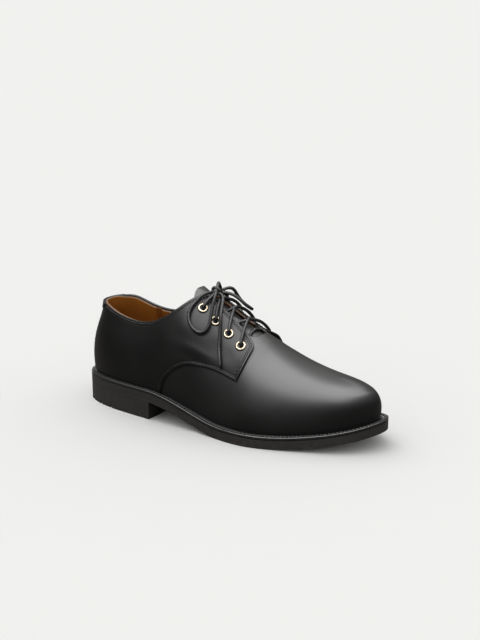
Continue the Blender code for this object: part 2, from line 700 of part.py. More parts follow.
def strand(side, number):
    """A lace from an eyelet over its facing, across the gap and down beside the other facing."""
    row, part = EYELETS[number - 1]
    step, kept, added, rise, turn = np.array(STRAND).T
    rows = row + (EYELETS[number - 2][0] - row) * step
    heights = LACE_LOW + (LACE_TOP - LACE_LOW) * rise
    places = np.where((turn > 0) == (side == "lateral"), rows, LOOP - rows)
    route = on_last(places, part * kept + added, heights)
    return spaced(smooth_curve(route, False), len(route) - 1, STRAND_POINTS)


def knot_place():
    """The knot's middle, and its shape as a matrix from a ball with unit diameter."""
    middle = Vector(last_point(KNOT_ROW, 1.0)[0] + KNOT_SHIFT)
    return middle, Matrix.Rotation(radians(KNOT_LEAN), 3, "Y") @ Matrix.Diagonal(KNOT_SIZE)


def at_knot(point):
    """Where a lace that comes from a point stops, just off the knot."""
    middle, shape = knot_place()
    way = Vector(point) - middle
    surface = way * (0.5 / (shape.inverted() @ way).length)
    return np.array([middle + surface + way.normalized() * KNOT_GAP])


def make_lacing():
    """The bar at the bottom, three crossings and the two leads up to the knot."""
    past, parts, heights = np.array(BAR).T
    rows = EYELETS[-1][0] + past
    bar = on_last([*rows, *(LOOP - rows[::-1])], [*parts, *parts[::-1]], LACE_LOW + np.tile(heights, 2))
    bar = spaced(smooth_curve(bar, False), len(bar) - 1, STRAND_POINTS - 3)
    tube("lace_bar", bar, LACE / 2, FINISH["lace"])
    for number in range(len(EYELETS), 1, -1):
        name = f"lace_cross_{len(EYELETS) + 1 - number}"
        first = tube(name, strand("lateral", number), LACE / 2, FINISH["lace"])
        second = tube(name + "_medial", strand("medial", number), LACE / 2, FINISH["lace"])
        combine(first, hide_tool(second), "UNION")
    past, parts, heights = np.array(LEAD).T
    for side in ("lateral", "medial"):
        rows = EYELETS[0][0] + past
        rows = rows if side == "lateral" else LOOP - rows
        lead = on_last(rows, EYELETS[0][1] + parts, LACE_TOP + heights)
        lead = np.concatenate([lead, at_knot(lead[-1])])
        lead = spaced(smooth_curve(lead, False), len(lead) - 1, len(lead) + 1)
        tube(f"lace_lead_{side}", lead, LACE / 2, FINISH["lace"])


def make_knot():
    """The bow's knot, a leaning ball with its own three diameters."""
    mesh_edit = bmesh.new()
    bmesh.ops.create_icosphere(mesh_edit, subdivisions=2, radius=0.5)
    middle, shape = knot_place()
    bmesh.ops.transform(
        mesh_edit, matrix=Matrix.Translation(middle) @ shape.to_4x4(), verts=mesh_edit.verts)
    finish_mesh("lace_knot", mesh_edit, FINISH["lace"])


def free_lace(name, route, loop=False):
    """A free length of lace from the knot as a round curve, and back to it in a loop; returns its points."""
    points = on_last(*np.array(route).T)
    back = at_knot(points[-1]) if loop else points[:0]
    points = np.concatenate([at_knot(points[0]), points, back])
    curve = smooth_curve(points, False)
    length = np.linalg.norm(np.diff(curve(np.linspace(0, len(points) - 1, 200)), axis=0), axis=1).sum()
    run = spaced(curve, len(points) - 1, int(length / (2.4 * LACE)) + 1)
    data = bpy.data.curves.new(name, "CURVE")
    data.dimensions = "3D"
    data.bevel_depth = LACE / 2
    data.bevel_resolution = 2
    data.use_fill_caps = True
    line = data.splines.new("POLY")
    line.points.add(len(run) - 1)
    for spot, point in zip(line.points, run):
        spot.co = (*point, 1)
    add_object(name, data, FINISH["lace"])
    return run


def make_free_laces():
    """The bow's two loops and the two ends with their tips."""
    free_lace("bow_loop_lateral", BOW_LATERAL, loop=True)
    free_lace("bow_loop_medial", BOW_MEDIAL, loop=True)
    for side, route in (("lateral", END_LATERAL), ("medial", END_MEDIAL)):
        run = free_lace(f"lace_end_{side}", route[:-1])
        ahead = on_last(*route[-1])[0]
        way = (ahead - run[-1]) / np.linalg.norm(ahead - run[-1])
        tip = [run[-1] + way * CLEAR, run[-1] + way * (CLEAR + AGLET_LENGTH)]
        tube(f"aglet_{side}", tip, AGLET_RADIUS, FINISH["lace"])


def main():
    for old in list(bpy.data.objects):
        bpy.data.objects.remove(old, do_unlink=True)
    make_outsole()
    make_heel()
    make_welt()
    make_insole()
    make_upper()
    make_tongue()
    make_eyelets()
    make_lacing()
    make_knot()
    make_free_laces()


main()
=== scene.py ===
# %% [markdown]
# A right derby shoe in smooth black leather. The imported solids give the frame: this script dresses
# them with the leather panels, seams, laces and sole that one sees on the real shoe, and adds a
# studio. Every piece stands where its solid stands.

# %% Load the frame
from math import atan2, cos, pi, radians, sin

import bmesh
import bpy
import numpy as np
from mathutils import Matrix, Vector


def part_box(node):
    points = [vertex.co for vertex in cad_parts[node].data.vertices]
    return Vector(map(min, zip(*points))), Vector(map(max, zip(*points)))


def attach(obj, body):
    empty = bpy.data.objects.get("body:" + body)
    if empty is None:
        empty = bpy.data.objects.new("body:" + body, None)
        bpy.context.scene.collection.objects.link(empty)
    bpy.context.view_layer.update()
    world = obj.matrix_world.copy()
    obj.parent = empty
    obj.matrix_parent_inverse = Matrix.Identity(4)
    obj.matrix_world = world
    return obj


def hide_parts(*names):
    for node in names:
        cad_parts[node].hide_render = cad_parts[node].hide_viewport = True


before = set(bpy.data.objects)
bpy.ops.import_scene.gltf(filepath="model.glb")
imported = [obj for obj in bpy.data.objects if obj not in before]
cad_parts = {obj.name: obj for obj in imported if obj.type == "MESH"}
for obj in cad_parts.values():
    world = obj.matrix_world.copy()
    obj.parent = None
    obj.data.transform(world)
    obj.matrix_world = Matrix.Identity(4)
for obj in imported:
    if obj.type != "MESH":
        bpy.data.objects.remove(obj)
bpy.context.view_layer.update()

# %% [markdown]
# A shoe is lasted: leather is pulled over a wooden form, the last, so all its panels follow one
# surface. The surface is drawn from the same few sizes and the same table of sections as the solids.
# A place on it is a row, counted round the shoe from the heel, and a part, from the welt (0) to the
# top (1). Rows 0 to 13 run along the outer side to the toe, and 26 minus a row is the same place on
# the inner side. Everything below is placed by row, part and height over this surface.

# %% Sizes in metres
LENGTH = 0.302
BALL_WIDTH = 0.116
HEEL_REST = 0.036
HEEL_HEIGHT = 0.0165
SOLE_THICK = 0.0078
WELT_THICK = 0.0028
TOE_SPRING = 0.0150
LEDGE_FORE = 0.0068
LEDGE_HEEL = 0.0050
INSTEP_HEIGHT = 0.112
UPPER_WALL = 0.0018
QUARTER_STEP = 0.0013
TAB_STEP = 0.0009
TONGUE_WALL = 0.0018
TONGUE_DROP = 0.0013
INSOLE_THICK = 0.0030
CLEAR = 0.0003
BREAST_SHARE = 0.300
ARCH_END_SHARE = 0.580
SPRING_SHARE = 0.680
LACE = 0.0030
MM = 0.001

# Outsole outline round the shoe from the heel, shares of LENGTH and BALL_WIDTH
OUTLINE = (
    (0.000, 0.000), (0.022, -0.180), (0.098, -0.298), (0.196, -0.358), (0.314, -0.400), (0.430, -0.430),
    (0.540, -0.475), (0.640, -0.510), (0.735, -0.465), (0.840, -0.365), (0.935, -0.235), (0.990, -0.060),
    (0.992, 0.110), (0.935, 0.275), (0.840, 0.400), (0.740, 0.460), (0.640, 0.455), (0.540, 0.385),
    (0.430, 0.300), (0.314, 0.270), (0.196, 0.295), (0.098, 0.280), (0.022, 0.180),
)
# Centre line of the last, shares of LENGTH and BALL_WIDTH
CENTRE = ((0.00, 0.000), (0.25, -0.015), (0.50, -0.015), (0.75, 0.005), (1.00, 0.035))
# Sections of the last from heel to toe, columns: name, axis (share of LENGTH), angle from the toe
# direction, top height (share of INSTEP_HEIGHT), top radius and belly out, lateral and medial (shares
# of BALL_WIDTH), belly up (share of INSTEP_HEIGHT), top reach (share of BALL_WIDTH), droop in degrees
SECTIONS = (
    ("heel back", 0.150, 180, 0.880, 0.250, 0.250, 0.036, 0.036, 0.339, 0.190, 88),
    ("heel round", 0.150, 143, 0.885, 0.233, 0.233, 0.045, 0.039, 0.339, 0.190, 88),
    ("heel side", 0.155, 110, 0.900, 0.207, 0.198, 0.052, 0.039, 0.321, 0.224, 86),
    ("ankle", 0.210, 91, 0.930, 0.181, 0.172, 0.052, 0.043, 0.304, 0.259, 82),
    ("shank", 0.290, 90, 0.990, 0.147, 0.138, 0.052, 0.052, 0.268, 0.293, 66),
    ("waist", 0.370, 90, 1.085, 0.086, 0.086, 0.052, 0.052, 0.250, 0.310, 40),
    ("instep", 0.450, 90, 0.995, 0.000, 0.000, 0.047, 0.043, 0.232, 0.345, 14),
    ("throat", 0.530, 90, 0.872, 0.000, 0.000, 0.039, 0.034, 0.214, 0.259, 12),
    ("ball", 0.610, 90, 0.746, 0.000, 0.000, 0.033, 0.030, 0.196, 0.276, 5),
    ("vamp", 0.690, 90, 0.627, 0.000, 0.000, 0.026, 0.026, 0.179, 0.302, 0),
    ("toe side", 0.765, 82, 0.547, 0.000, 0.000, 0.024, 0.024, 0.170, 0.310, 0),
    ("toe round", 0.815, 62, 0.514, 0.000, 0.000, 0.024, 0.024, 0.170, 0.310, 0),
    ("toe corner", 0.842, 34, 0.503, 0.000, 0.000, 0.024, 0.024, 0.170, 0.310, 0),
    ("toe front", 0.850, 0, 0.501, 0.000, 0.000, 0.024, 0.024, 0.170, 0.310, 0),
)
LAST_ROW = len(SECTIONS) - 1
LOOP = 2 * LAST_ROW

# Edges of the panels, each point a row and a part
QUARTER_TOP = (
    (0.00, 0.930), (1.00, 0.925), (1.70, 0.895), (2.30, 0.825), (3.00, 0.758), (3.80, 0.738), (4.50, 0.728),
    (5.00, 0.765), (5.35, 0.845), (5.62, 0.928), (5.80, 0.951), (6.20, 0.943), (6.80, 0.915), (7.35, 0.880),
    (7.75, 0.848), (7.98, 0.812), (8.07, 0.765), (8.04, 0.640), (7.98, 0.540), (7.90, 0.450),
)
QUARTER_LOW = (
    (0.00, 0.000), (0.75, 0.000), (1.45, 0.000), (2.10, 0.000), (2.75, 0.000), (3.40, 0.000), (4.00, 0.000),
    (4.40, 0.000), (4.60, 0.020), (4.70, 0.100), (4.84, 0.175), (5.05, 0.240), (5.35, 0.308), (5.75, 0.368),
    (6.20, 0.405), (6.65, 0.430), (7.05, 0.443), (7.40, 0.447), (7.68, 0.447), (7.88, 0.447),
)
THROAT_END = ((7.35, 0.880), (7.62, 0.868), (7.84, 0.885), (7.96, 0.935), (8.00, 1.000))
TONGUE_SIDE = (
    (5.36, 0.950), (5.42, 0.895), (5.60, 0.845), (6.10, 0.795), (6.60, 0.755), (7.10, 0.722), (7.70, 0.690),
    (8.22, 0.680),
)
EYELETS = ((5.90, 0.822), (6.47, 0.783), (7.04, 0.748), (7.62, 0.722))
TAB_ROW = 0.25
TAB_HALF = 1.15
TAB_DROP = 0.130


# %% [markdown]
# Two helpers draw smooth lines. One is a cubic spline through a table's rows, as a draughtsman's
# batten bends through its pins. The other picks points at even distances along such a line, which
# stitches and laces need.

# %% Smooth lines
def smooth_curve(rows, closed=False):
    """A curve with even bending through rows of values, read at row numbers."""
    rows = np.asarray(rows, float)
    count = len(rows)
    system = np.zeros((count, count))
    target = np.zeros_like(rows)
    for i in range(count):
        before = (i - 1) % count
        after = (i + 1) % count
        if closed or 0 < i < count - 1:
            system[i, [before, i, after]] = 1, 4, 1
            target[i] = 3 * (rows[after] - rows[before])
        else:
            near = after if i == 0 else before
            system[i, [i, near]] = 2, 1
            target[i] = 3 * (rows[near] - rows[i]) * (1 if i == 0 else -1)
    slopes = np.linalg.solve(system, target)

    def at(numbers):
        numbers = np.atleast_1d(np.asarray(numbers, float))
        low = np.floor(numbers).astype(int)
        low = low if closed else np.clip(low, 0, count - 2)
        t = (numbers - low)[:, None]
        low = low % count
        high = (low + 1) % count
        stay = rows[low] * (2 * t**3 - 3 * t**2 + 1) + rows[high] * (3 * t**2 - 2 * t**3)
        lean = slopes[low] * (t**3 - 2 * t**2 + t) + slopes[high] * (t**3 - t**2)
        return stay + lean
    return at


def run_length(points):
    """Distance along a line from its start, at each of its points."""
    steps = np.linalg.norm(np.diff(points, axis=0), axis=1)
    return np.concatenate([[0], np.cumsum(steps)])


def even_points(points, step):
    """Points about a step apart along a line, ends included."""
    run = run_length(points)
    places = np.linspace(0, run[-1], max(2, int(round(run[-1] / step)) + 1))
    return np.column_stack([np.interp(places, run, points[:, k]) for k in range(points.shape[1])])


def through(points, step):
    """A smooth line through a few points, as even points a step apart."""
    fine = smooth_curve(points)(np.linspace(0, len(points) - 1, 60 * len(points)))
    return even_points(fine, step)


def ramp(value, start, end):
    k = np.clip((np.asarray(value, float) - start) / (end - start), 0, 1)
    return k * k * (3 - 2 * k)


print("a smooth line through the outline has", len(OUTLINE), "points to follow")


# %% [markdown]
# The sole comes next, because the last stands on it. Its underside lies flat under the heel, falls
# through the arch to the ball, lies flat there and rises at the toe, which is called toe spring.

# %% Sole lines
def share(x):
    return (np.asarray(x, float) + HEEL_REST) / LENGTH


def station(part):
    return part * LENGTH - HEEL_REST


def underside(x):
    """Height of the outsole's lower face."""
    arch = HEEL_HEIGHT * (1 - ramp(share(x), BREAST_SHARE - 0.02, ARCH_END_SHARE))
    rise = np.clip((share(x) - SPRING_SHARE) / (1 - SPRING_SHARE), 0, 1)
    return arch + TOE_SPRING * rise**2


def seat(x):
    """Height of the welt's upper face."""
    return underside(x) + SOLE_THICK + WELT_THICK


def ledge(x):
    """Width of the welt that shows beside the upper."""
    return LEDGE_HEEL + (LEDGE_FORE - LEDGE_HEEL) * ramp(share(x), 0.25, 0.60)


OUTLINE_CURVE = smooth_curve(OUTLINE, closed=True)
OUTLINE_DETAIL = 400


def edge_points(count, inset=0.0):
    """The outsole's outline moved inwards by inset, which may differ from point to point."""
    rows = np.linspace(0, len(OUTLINE), count, endpoint=False)
    points = OUTLINE_CURVE(rows) * [LENGTH, BALL_WIDTH] - [HEEL_REST, 0]
    before = OUTLINE_CURVE(rows - 0.01) * [LENGTH, BALL_WIDTH]
    after = OUTLINE_CURVE(rows + 0.01) * [LENGTH, BALL_WIDTH]
    along = (after - before) / np.linalg.norm(after - before, axis=1)[:, None]
    inward = np.column_stack([-along[:, 1], along[:, 0]])
    return points + inward * np.reshape(inset, (-1, 1))


outsole_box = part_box("outsole")
drawn_corner = edge_points(OUTLINE_DETAIL).min(axis=0)
print("outsole drawn", np.round(drawn_corner, 4), "solid", np.round(outsole_box[0][:2], 4))


# %% [markdown]
# Each section is one Bezier curve in an upright plane: it starts on the feather line, where the
# upper meets the welt, swells into the belly and bends over to the ridge. Between the sections the
# values are splined round the shoe, so the surface is smooth everywhere.

# %% The last
def section_rows():
    """The section table as a loop, lateral rows first, then the medial ones back to the heel."""
    rows = []
    for side, order in ((-1, SECTIONS), (1, SECTIONS[-2:0:-1])):
        for name, axis, angle, top, top_lat, top_med, out_lat, out_med, up, reach, droop in order:
            top_radius = top_lat if side < 0 else top_med
            belly = out_lat if side < 0 else out_med
            way = (cos(radians(angle)), side * sin(radians(angle)))
            heights = (top * INSTEP_HEIGHT, up * INSTEP_HEIGHT)
            widths = (top_radius * BALL_WIDTH, belly * BALL_WIDTH, reach * BALL_WIDTH)
            rows.append((station(axis), *way, *heights, *widths, droop))
    return rows


LAST = smooth_curve(section_rows(), closed=True)
RIDGE = smooth_curve([(station(row[1]), row[3] * INSTEP_HEIGHT) for row in SECTIONS])
CENTRE_CURVE = smooth_curve(CENTRE)
FEATHER = edge_points(480, ledge(edge_points(480)[:, 0]))


def section_frame(row):
    """Where sections stand on the centre line, and the way each one faces."""
    values = LAST(row)
    middle = CENTRE_CURVE(share(values[:, 0]) * (len(CENTRE) - 1))[:, 1] * BALL_WIDTH
    way = values[:, 1:3] / np.linalg.norm(values[:, 1:3], axis=1)[:, None]
    return np.column_stack([values[:, 0], middle]), way, values[:, 3:9].T


def reach_feather(origin, way):
    """Distance from a point on the centre line to the feather line, in a given direction."""
    side = np.array([-way[1], way[0]])
    start = (FEATHER - origin) @ side
    end = np.roll(start, -1)
    crossed = np.flatnonzero((start * end <= 0) & (start != end))
    part = (start[crossed] / (start[crossed] - end[crossed]))[:, None]
    hits = FEATHER[crossed] * (1 - part) + np.roll(FEATHER, -1, 0)[crossed] * part
    return ((hits - origin) @ way).max()


FOOT_ROWS = np.linspace(0, LOOP, LOOP * 40 + 1)
FOOT = np.array([reach_feather(spot, way) for spot, way in zip(*section_frame(FOOT_ROWS % LOOP)[:2])])


def last_point(row, part):
    """Points on the outside of the vamp."""
    row = np.atleast_1d(np.asarray(row, float)) % LOOP
    part = np.atleast_1d(np.asarray(part, float))[:, None]
    origin, way, (top, up, top_radius, belly, reach, droop) = section_frame(row)
    top_radius = np.maximum(top_radius, 0)
    droop = np.radians(np.maximum(droop, 0))
    foot = np.interp(row, FOOT_ROWS, FOOT)
    base = seat(origin[:, 0] + way[:, 0] * foot) + CLEAR
    lateral_row = np.minimum(row, LOOP - row)
    ahead = RIDGE(np.minimum(lateral_row + 0.02, LAST_ROW))
    behind = RIDGE(np.maximum(lateral_row - 0.02, 0))
    slope = (ahead[:, 1] - behind[:, 1]) / (ahead[:, 0] - behind[:, 0])
    along_ridge = np.where(top_radius < 0.001, np.maximum(way[:, 0], 0), 0)
    shoulder = reach * np.cos(droop)
    knots = (
        np.column_stack([foot, base]),
        np.column_stack([foot + belly, base + up]),
        np.column_stack([top_radius + shoulder, top + (slope * along_ridge - np.tan(droop)) * shoulder]),
        np.column_stack([top_radius, top]),
    )
    profile = (knots[0] * (1 - part)**3 + 3 * knots[1] * part * (1 - part)**2
               + 3 * knots[2] * part**2 * (1 - part) + knots[3] * part**3)
    return np.column_stack([origin + way * profile[:, :1], profile[:, 1]])


def last_normal(row, part):
    """Outward directions at points of the last."""
    row = np.atleast_1d(np.asarray(row, float))
    part = np.atleast_1d(np.asarray(part, float))
    along = last_point(row + 0.03, part) - last_point(row - 0.03, part)
    upper = last_point(row, np.minimum(part + 0.01, 1))
    across = upper - last_point(row, np.minimum(part + 0.01, 1) - 0.02)
    normal = np.cross(along, across)
    return normal / np.linalg.norm(normal, axis=1)[:, None]


def on_last(row, part, height=0.0):
    """Points at a height over the vamp's outside."""
    return last_point(row, part) + last_normal(row, part) * np.reshape(height, (-1, 1))


upper_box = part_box("upper")
last_reach = last_point(np.arange(LOOP), 0.5).max(axis=0)
print("last drawn to", np.round(last_reach, 4), "solid", np.round(upper_box[1], 4))


# %% [markdown]
# The camera stands where the photographer stood: a long lens, a little above the shoe and in front
# of its outer side. The angle and distance were found by matching the sole's outline. The lens is
# shifted a little, as the shoe stands below the middle of the picture.

# %% Camera
PHOTO_WIDTH = 480
PHOTO_HEIGHT = 640
VIEW_AZIMUTH = radians(32.4)
VIEW_ELEVATION = radians(18.0)
VIEW_DISTANCE = 1.100
AIM = Vector((0.114, 0.0, 0.030))
AIM_PIXEL = (231.5, 385.4)
FOCAL_PIXELS = 1222
SENSOR = 36.0


def make_camera():
    data = bpy.data.cameras.new("photo_camera")
    camera = bpy.data.objects.new("photo_camera", data)
    bpy.context.scene.collection.objects.link(camera)
    flat = cos(VIEW_ELEVATION)
    way = Vector((sin(VIEW_AZIMUTH) * flat, -cos(VIEW_AZIMUTH) * flat, sin(VIEW_ELEVATION)))
    camera.location = AIM + way * VIEW_DISTANCE
    camera.rotation_euler = (-way).to_track_quat("-Z", "Y").to_euler()
    data.sensor_fit = "VERTICAL"
    data.sensor_height = SENSOR
    data.lens = FOCAL_PIXELS * SENSOR / PHOTO_HEIGHT
    data.shift_x = (PHOTO_WIDTH / 2 - AIM_PIXEL[0]) / PHOTO_HEIGHT
    data.shift_y = (AIM_PIXEL[1] - PHOTO_HEIGHT / 2) / PHOTO_HEIGHT
    bpy.context.scene.camera = camera
    return camera


camera = make_camera()
print("camera at", [round(value, 3) for value in camera.location], "lens", round(camera.data.lens, 1), "mm")

# %% [markdown]
# Materials come as node trees. Effects that several finishes share are node groups, made once:
# the grain of leather, the furrow and rubbed rim along a seam, the weave of a cord and fine dust.
# Each group only gives values that change over the surface; the shader stays in the material.


# %% Helpers for nodes
# Sockets of a Mix node: its factor, its two numbers, its two colours, and its colour result
MIX_FACTOR = 0
MIX_NUMBERS = (2, 3)
MIX_COLOURS = (6, 7)
MIX_COLOUR_RESULT = 2


def set_inputs(tree, made, inputs):
    """Inputs of a node, as (socket, value or another node's output) pairs."""
    for key, value in inputs:
        if isinstance(value, bpy.types.NodeSocket):
            tree.links.new(value, made.inputs[key])
        else:
            made.inputs[key].default_value = value


def add_node(tree, kind, inputs=(), **settings):
    """A node with its settings and inputs."""
    made = tree.nodes.new(kind)
    for name, value in settings.items():
        setattr(made, name, value)
    set_inputs(tree, made, inputs)
    return made


def math_node(tree, operation, first, second=0.0, clamp=False):
    return add_node(tree, "ShaderNodeMath", ((0, first), (1, second)), operation=operation,
                    use_clamp=clamp).outputs[0]


def map_range(tree, value, low, high, to_low=0.0, to_high=1.0):
    pairs = (("Value", value), ("From Min", low), ("From Max", high), ("To Min", to_low), ("To Max", to_high))
    return add_node(tree, "ShaderNodeMapRange", pairs, interpolation_type="SMOOTHSTEP").outputs[0]


def object_place(tree):
    return add_node(tree, "ShaderNodeTexCoord").outputs["Object"]


def noise(tree, place, scale, detail):
    pairs = (("Vector", place), ("Scale", scale), ("Detail", detail))
    return add_node(tree, "ShaderNodeTexNoise", pairs).outputs["Fac"]


def new_group(name, inputs, outputs):
    """A shader node group with float inputs, and its input and output nodes."""
    group = bpy.data.node_groups.new(name, "ShaderNodeTree")
    for label, value in inputs:
        socket = group.interface.new_socket(label, in_out="INPUT", socket_type="NodeSocketFloat")
        socket.default_value = value
    for label in outputs:
        group.interface.new_socket(label, in_out="OUTPUT", socket_type="NodeSocketFloat")
    return group, group.nodes.new("NodeGroupInput"), group.nodes.new("NodeGroupOutput")


def place_group(tree, group, inputs=()):
    made = tree.nodes.new("ShaderNodeGroup")
    made.node_tree = group
    set_inputs(tree, made, inputs)
    return made


print("node helpers ready")

# %% [markdown]
# Box calf has a very fine grain: closed cells of less than a millimetre with hair pores between
# them. Cells from a Voronoi texture give the pebble, a fine noise the pores, and a broad noise the
# places where the hide is looser.


# %% Leather grain group
PORES_FINER = 2.7
PORE_SHARE = 0.45
CLOUD_SCALE = 22.0


def make_grain_group():
    group, given, result = new_group(
        "leather_grain", (("Cells per metre", 1500.0), ("Looseness", 0.5)), ("Height", "Cloud"))
    spot = object_place(group)
    cells = add_node(group, "ShaderNodeTexVoronoi", (("Vector", spot), ("Scale", given.outputs[0])),
                     feature="SMOOTH_F1")
    finer = math_node(group, "MULTIPLY", given.outputs[0], PORES_FINER)
    pores = noise(group, spot, finer, 3.0)
    cloud = noise(group, spot, CLOUD_SCALE, 3.0)
    loose = math_node(group, "MULTIPLY", cloud, given.outputs[1])
    pebble = math_node(group, "MULTIPLY", cells.outputs["Distance"], math_node(group, "ADD", loose, 0.5))
    height = math_node(group, "ADD", pebble, math_node(group, "MULTIPLY", pores, PORE_SHARE))
    group.links.new(height, result.inputs["Height"])
    group.links.new(cloud, result.inputs["Cloud"])
    return group


grain_group = make_grain_group()
print("made", grain_group.name)

# %% [markdown]
# A stitched panel is pressed down along its seam, and its cut edge is rubbed and dyed. The panels
# carry an attribute with the distance to their cut edge in millimetres, so one group can draw the
# furrow under each row of stitches and the worn rim, however the edge bends.


# %% Seam furrow group
# Distances in millimetres: from a row of stitches, and from the cut edge
FURROW_REACH = (0.15, 0.80)
SWELL_REACH = (0.0, 1.4)
RIM_REACH = (0.05, 0.75)
SWELL_DEPTH = 0.9


def make_furrow_group():
    group, given, result = new_group(
        "seam_furrow", (("First row", 2.2), ("Second row", 3.8), ("Second depth", 0.0)), ("Height", "Rim"))
    edge = add_node(group, "ShaderNodeAttribute", attribute_name="edge_mm").outputs["Fac"]
    depth = []
    for socket in (0, 1):
        away = math_node(group, "ABSOLUTE", math_node(group, "SUBTRACT", edge, given.outputs[socket]))
        depth.append(map_range(group, away, *FURROW_REACH, -1.0, 0.0))
    second = math_node(group, "MULTIPLY", depth[1], given.outputs[2])
    swell = map_range(group, edge, *SWELL_REACH, -SWELL_DEPTH, 0.0)
    height = math_node(group, "ADD", math_node(group, "ADD", depth[0], second), swell)
    group.links.new(height, result.inputs["Height"])
    group.links.new(map_range(group, edge, *RIM_REACH, 1.0, 0.0), result.inputs["Rim"])
    return group


furrow_group = make_furrow_group()
print("made", furrow_group.name)

# %% [markdown]
# A round lace is braided: strands cross in a fine diamond pattern. On the tube's own map, with
# millimetres along the lace and round it, two slanted waves make the braid.


# %% Cord weave group
def make_weave_group():
    group, given, result = new_group(
        "cord_weave", (("Strands per mm", 1.1), ("Slant", 1.0)), ("Height", "Mask"))
    place = add_node(group, "ShaderNodeUVMap", uv_map="cord_map").outputs["UV"]
    split = add_node(group, "ShaderNodeSeparateXYZ", (("Vector", place),))
    along = math_node(group, "MULTIPLY", split.outputs["X"], given.outputs[0])
    around = math_node(group, "MULTIPLY", split.outputs["Y"], given.outputs[1])
    waves = []
    for operation in ("ADD", "SUBTRACT"):
        turn = math_node(group, "MULTIPLY", math_node(group, operation, along, around), pi)
        waves.append(math_node(group, "ABSOLUTE", math_node(group, "SINE", turn)))
    height = math_node(group, "MAXIMUM", waves[0], waves[1])
    group.links.new(height, result.inputs["Height"])
    group.links.new(map_range(group, height, 0.55, 0.95), result.inputs["Mask"])
    return group


weave_group = make_weave_group()
print("made", weave_group.name)

# %% [markdown]
# Dust settles on low edges, and rubber soles are never quite black. This group gives a mask that is
# strongest near the floor and broken by noise.


# %% Dust group
def make_dust_group():
    group, given, result = new_group("fine_dust", (("Reach", 0.030), ("Amount", 0.35)), ("Mask",))
    spot = object_place(group)
    height = add_node(group, "ShaderNodeSeparateXYZ", (("Vector", spot),)).outputs["Z"]
    low = math_node(group, "SUBTRACT", 1.0, math_node(group, "DIVIDE", height, given.outputs[0]), clamp=True)
    broken = map_range(group, noise(group, spot, 260.0, 5.0), 0.42, 0.72)
    mask = math_node(group, "MULTIPLY", math_node(group, "MULTIPLY", low, broken), given.outputs[1])
    group.links.new(mask, result.inputs["Mask"])
    return group


dust_group = make_dust_group()
print("made", dust_group.name)


# %% [markdown]
# Every finish is a Principled shader. Two colours are mixed by a mask for the base, the roughness
# moves between two values by another mask, and a height feeds a Bump node.

# %% Finish builder
def new_finish(name, metallic=0.0, specular=0.5):
    made = bpy.data.materials.new(name)
    made.use_nodes = True
    shader = made.node_tree.nodes["Principled BSDF"]
    shader.inputs["Metallic"].default_value = metallic
    shader.inputs["Specular IOR Level"].default_value = specular
    return made, made.node_tree, shader


def mix_colours(tree, mask, first, second):
    if not isinstance(first, bpy.types.NodeSocket):
        first = (*first, 1)
    pairs = zip((MIX_FACTOR, *MIX_COLOURS), (mask, first, (*second, 1)))
    return add_node(tree, "ShaderNodeMix", pairs, data_type="RGBA").outputs[MIX_COLOUR_RESULT]


def mix_numbers(tree, mask, first, second):
    pairs = zip((MIX_FACTOR, *MIX_NUMBERS), (mask, first, second))
    return add_node(tree, "ShaderNodeMix", pairs, data_type="FLOAT").outputs[0]


def set_surface(tree, shader, colour, roughness, height=None, depth=0.0001, strength=1.0):
    tree.links.new(colour, shader.inputs["Base Color"])
    tree.links.new(roughness, shader.inputs["Roughness"])
    if height is not None:
        pairs = (("Strength", strength), ("Distance", depth), ("Height", height))
        bump = add_node(tree, "ShaderNodeBump", pairs)
        tree.links.new(bump.outputs["Normal"], shader.inputs["Normal"])


print("finish builder ready")


# %% [markdown]
# The upper is black calf with a satin wax polish: a broad soft highlight, slightly glossier where
# the brush went more often. Its flat panels also show their seams. The lining is tan leather, dull
# and a little uneven, with a pale raw edge.

# %% Leather finishes
BLACK = (0.0036, 0.0034, 0.0033)
BLACK_WORN = (0.0088, 0.0080, 0.0076)
TAN = (0.36, 0.130, 0.014)
TAN_DARK = (0.24, 0.078, 0.007)
SEAM_SHADE = (0.15, 0.050, 0.009)
RAW_EDGE = (0.36, 0.24, 0.17)
RAW_EDGE_DARK = (0.25, 0.15, 0.10)
FLESH = (0.034, 0.018, 0.010)
FLESH_DARK = (0.018, 0.010, 0.006)
# How much of the grain, the worn tone, the seam's furrow and its rubbed rim shows on calf
GRAIN_SHARE = 0.10
WORN_SHARE = 0.4
FURROW_SHARE = 0.7
RIM_SHARE = 0.7
# Millimetres from the edge to the first and the second row of stitches, and the second furrow's depth
QUARTER_FURROWS = (2.3, 3.9, 0.8)
TAB_FURROWS = (1.8, 3.9, 0.0)
LINING_ROUGHNESS_SPAN = 0.12


def make_calf(name, specular, furrows=None):
    made, tree, shader = new_finish(name, specular=specular)
    grain = place_group(tree, grain_group, (("Cells per metre", 1500.0), ("Looseness", 0.6)))
    tone = map_range(tree, grain.outputs["Cloud"], 0.30, 0.75)
    height = math_node(tree, "MULTIPLY", grain.outputs["Height"], GRAIN_SHARE)
    colour = mix_colours(tree, math_node(tree, "MULTIPLY", tone, WORN_SHARE), BLACK, BLACK_WORN)
    if furrows:
        pairs = zip(("First row", "Second row", "Second depth"), furrows)
        furrow = place_group(tree, furrow_group, pairs)
        pressed = math_node(tree, "MULTIPLY", furrow.outputs["Height"], FURROW_SHARE)
        height = math_node(tree, "ADD", height, pressed)
        rubbed = math_node(tree, "MULTIPLY", furrow.outputs["Rim"], RIM_SHARE)
        colour = mix_colours(tree, rubbed, colour, BLACK_WORN)
    roughness = map_range(tree, grain.outputs["Cloud"], 0.25, 0.80, 0.40, 0.50)
    set_surface(tree, shader, colour, roughness, height, depth=0.00022, strength=0.8)
    return made


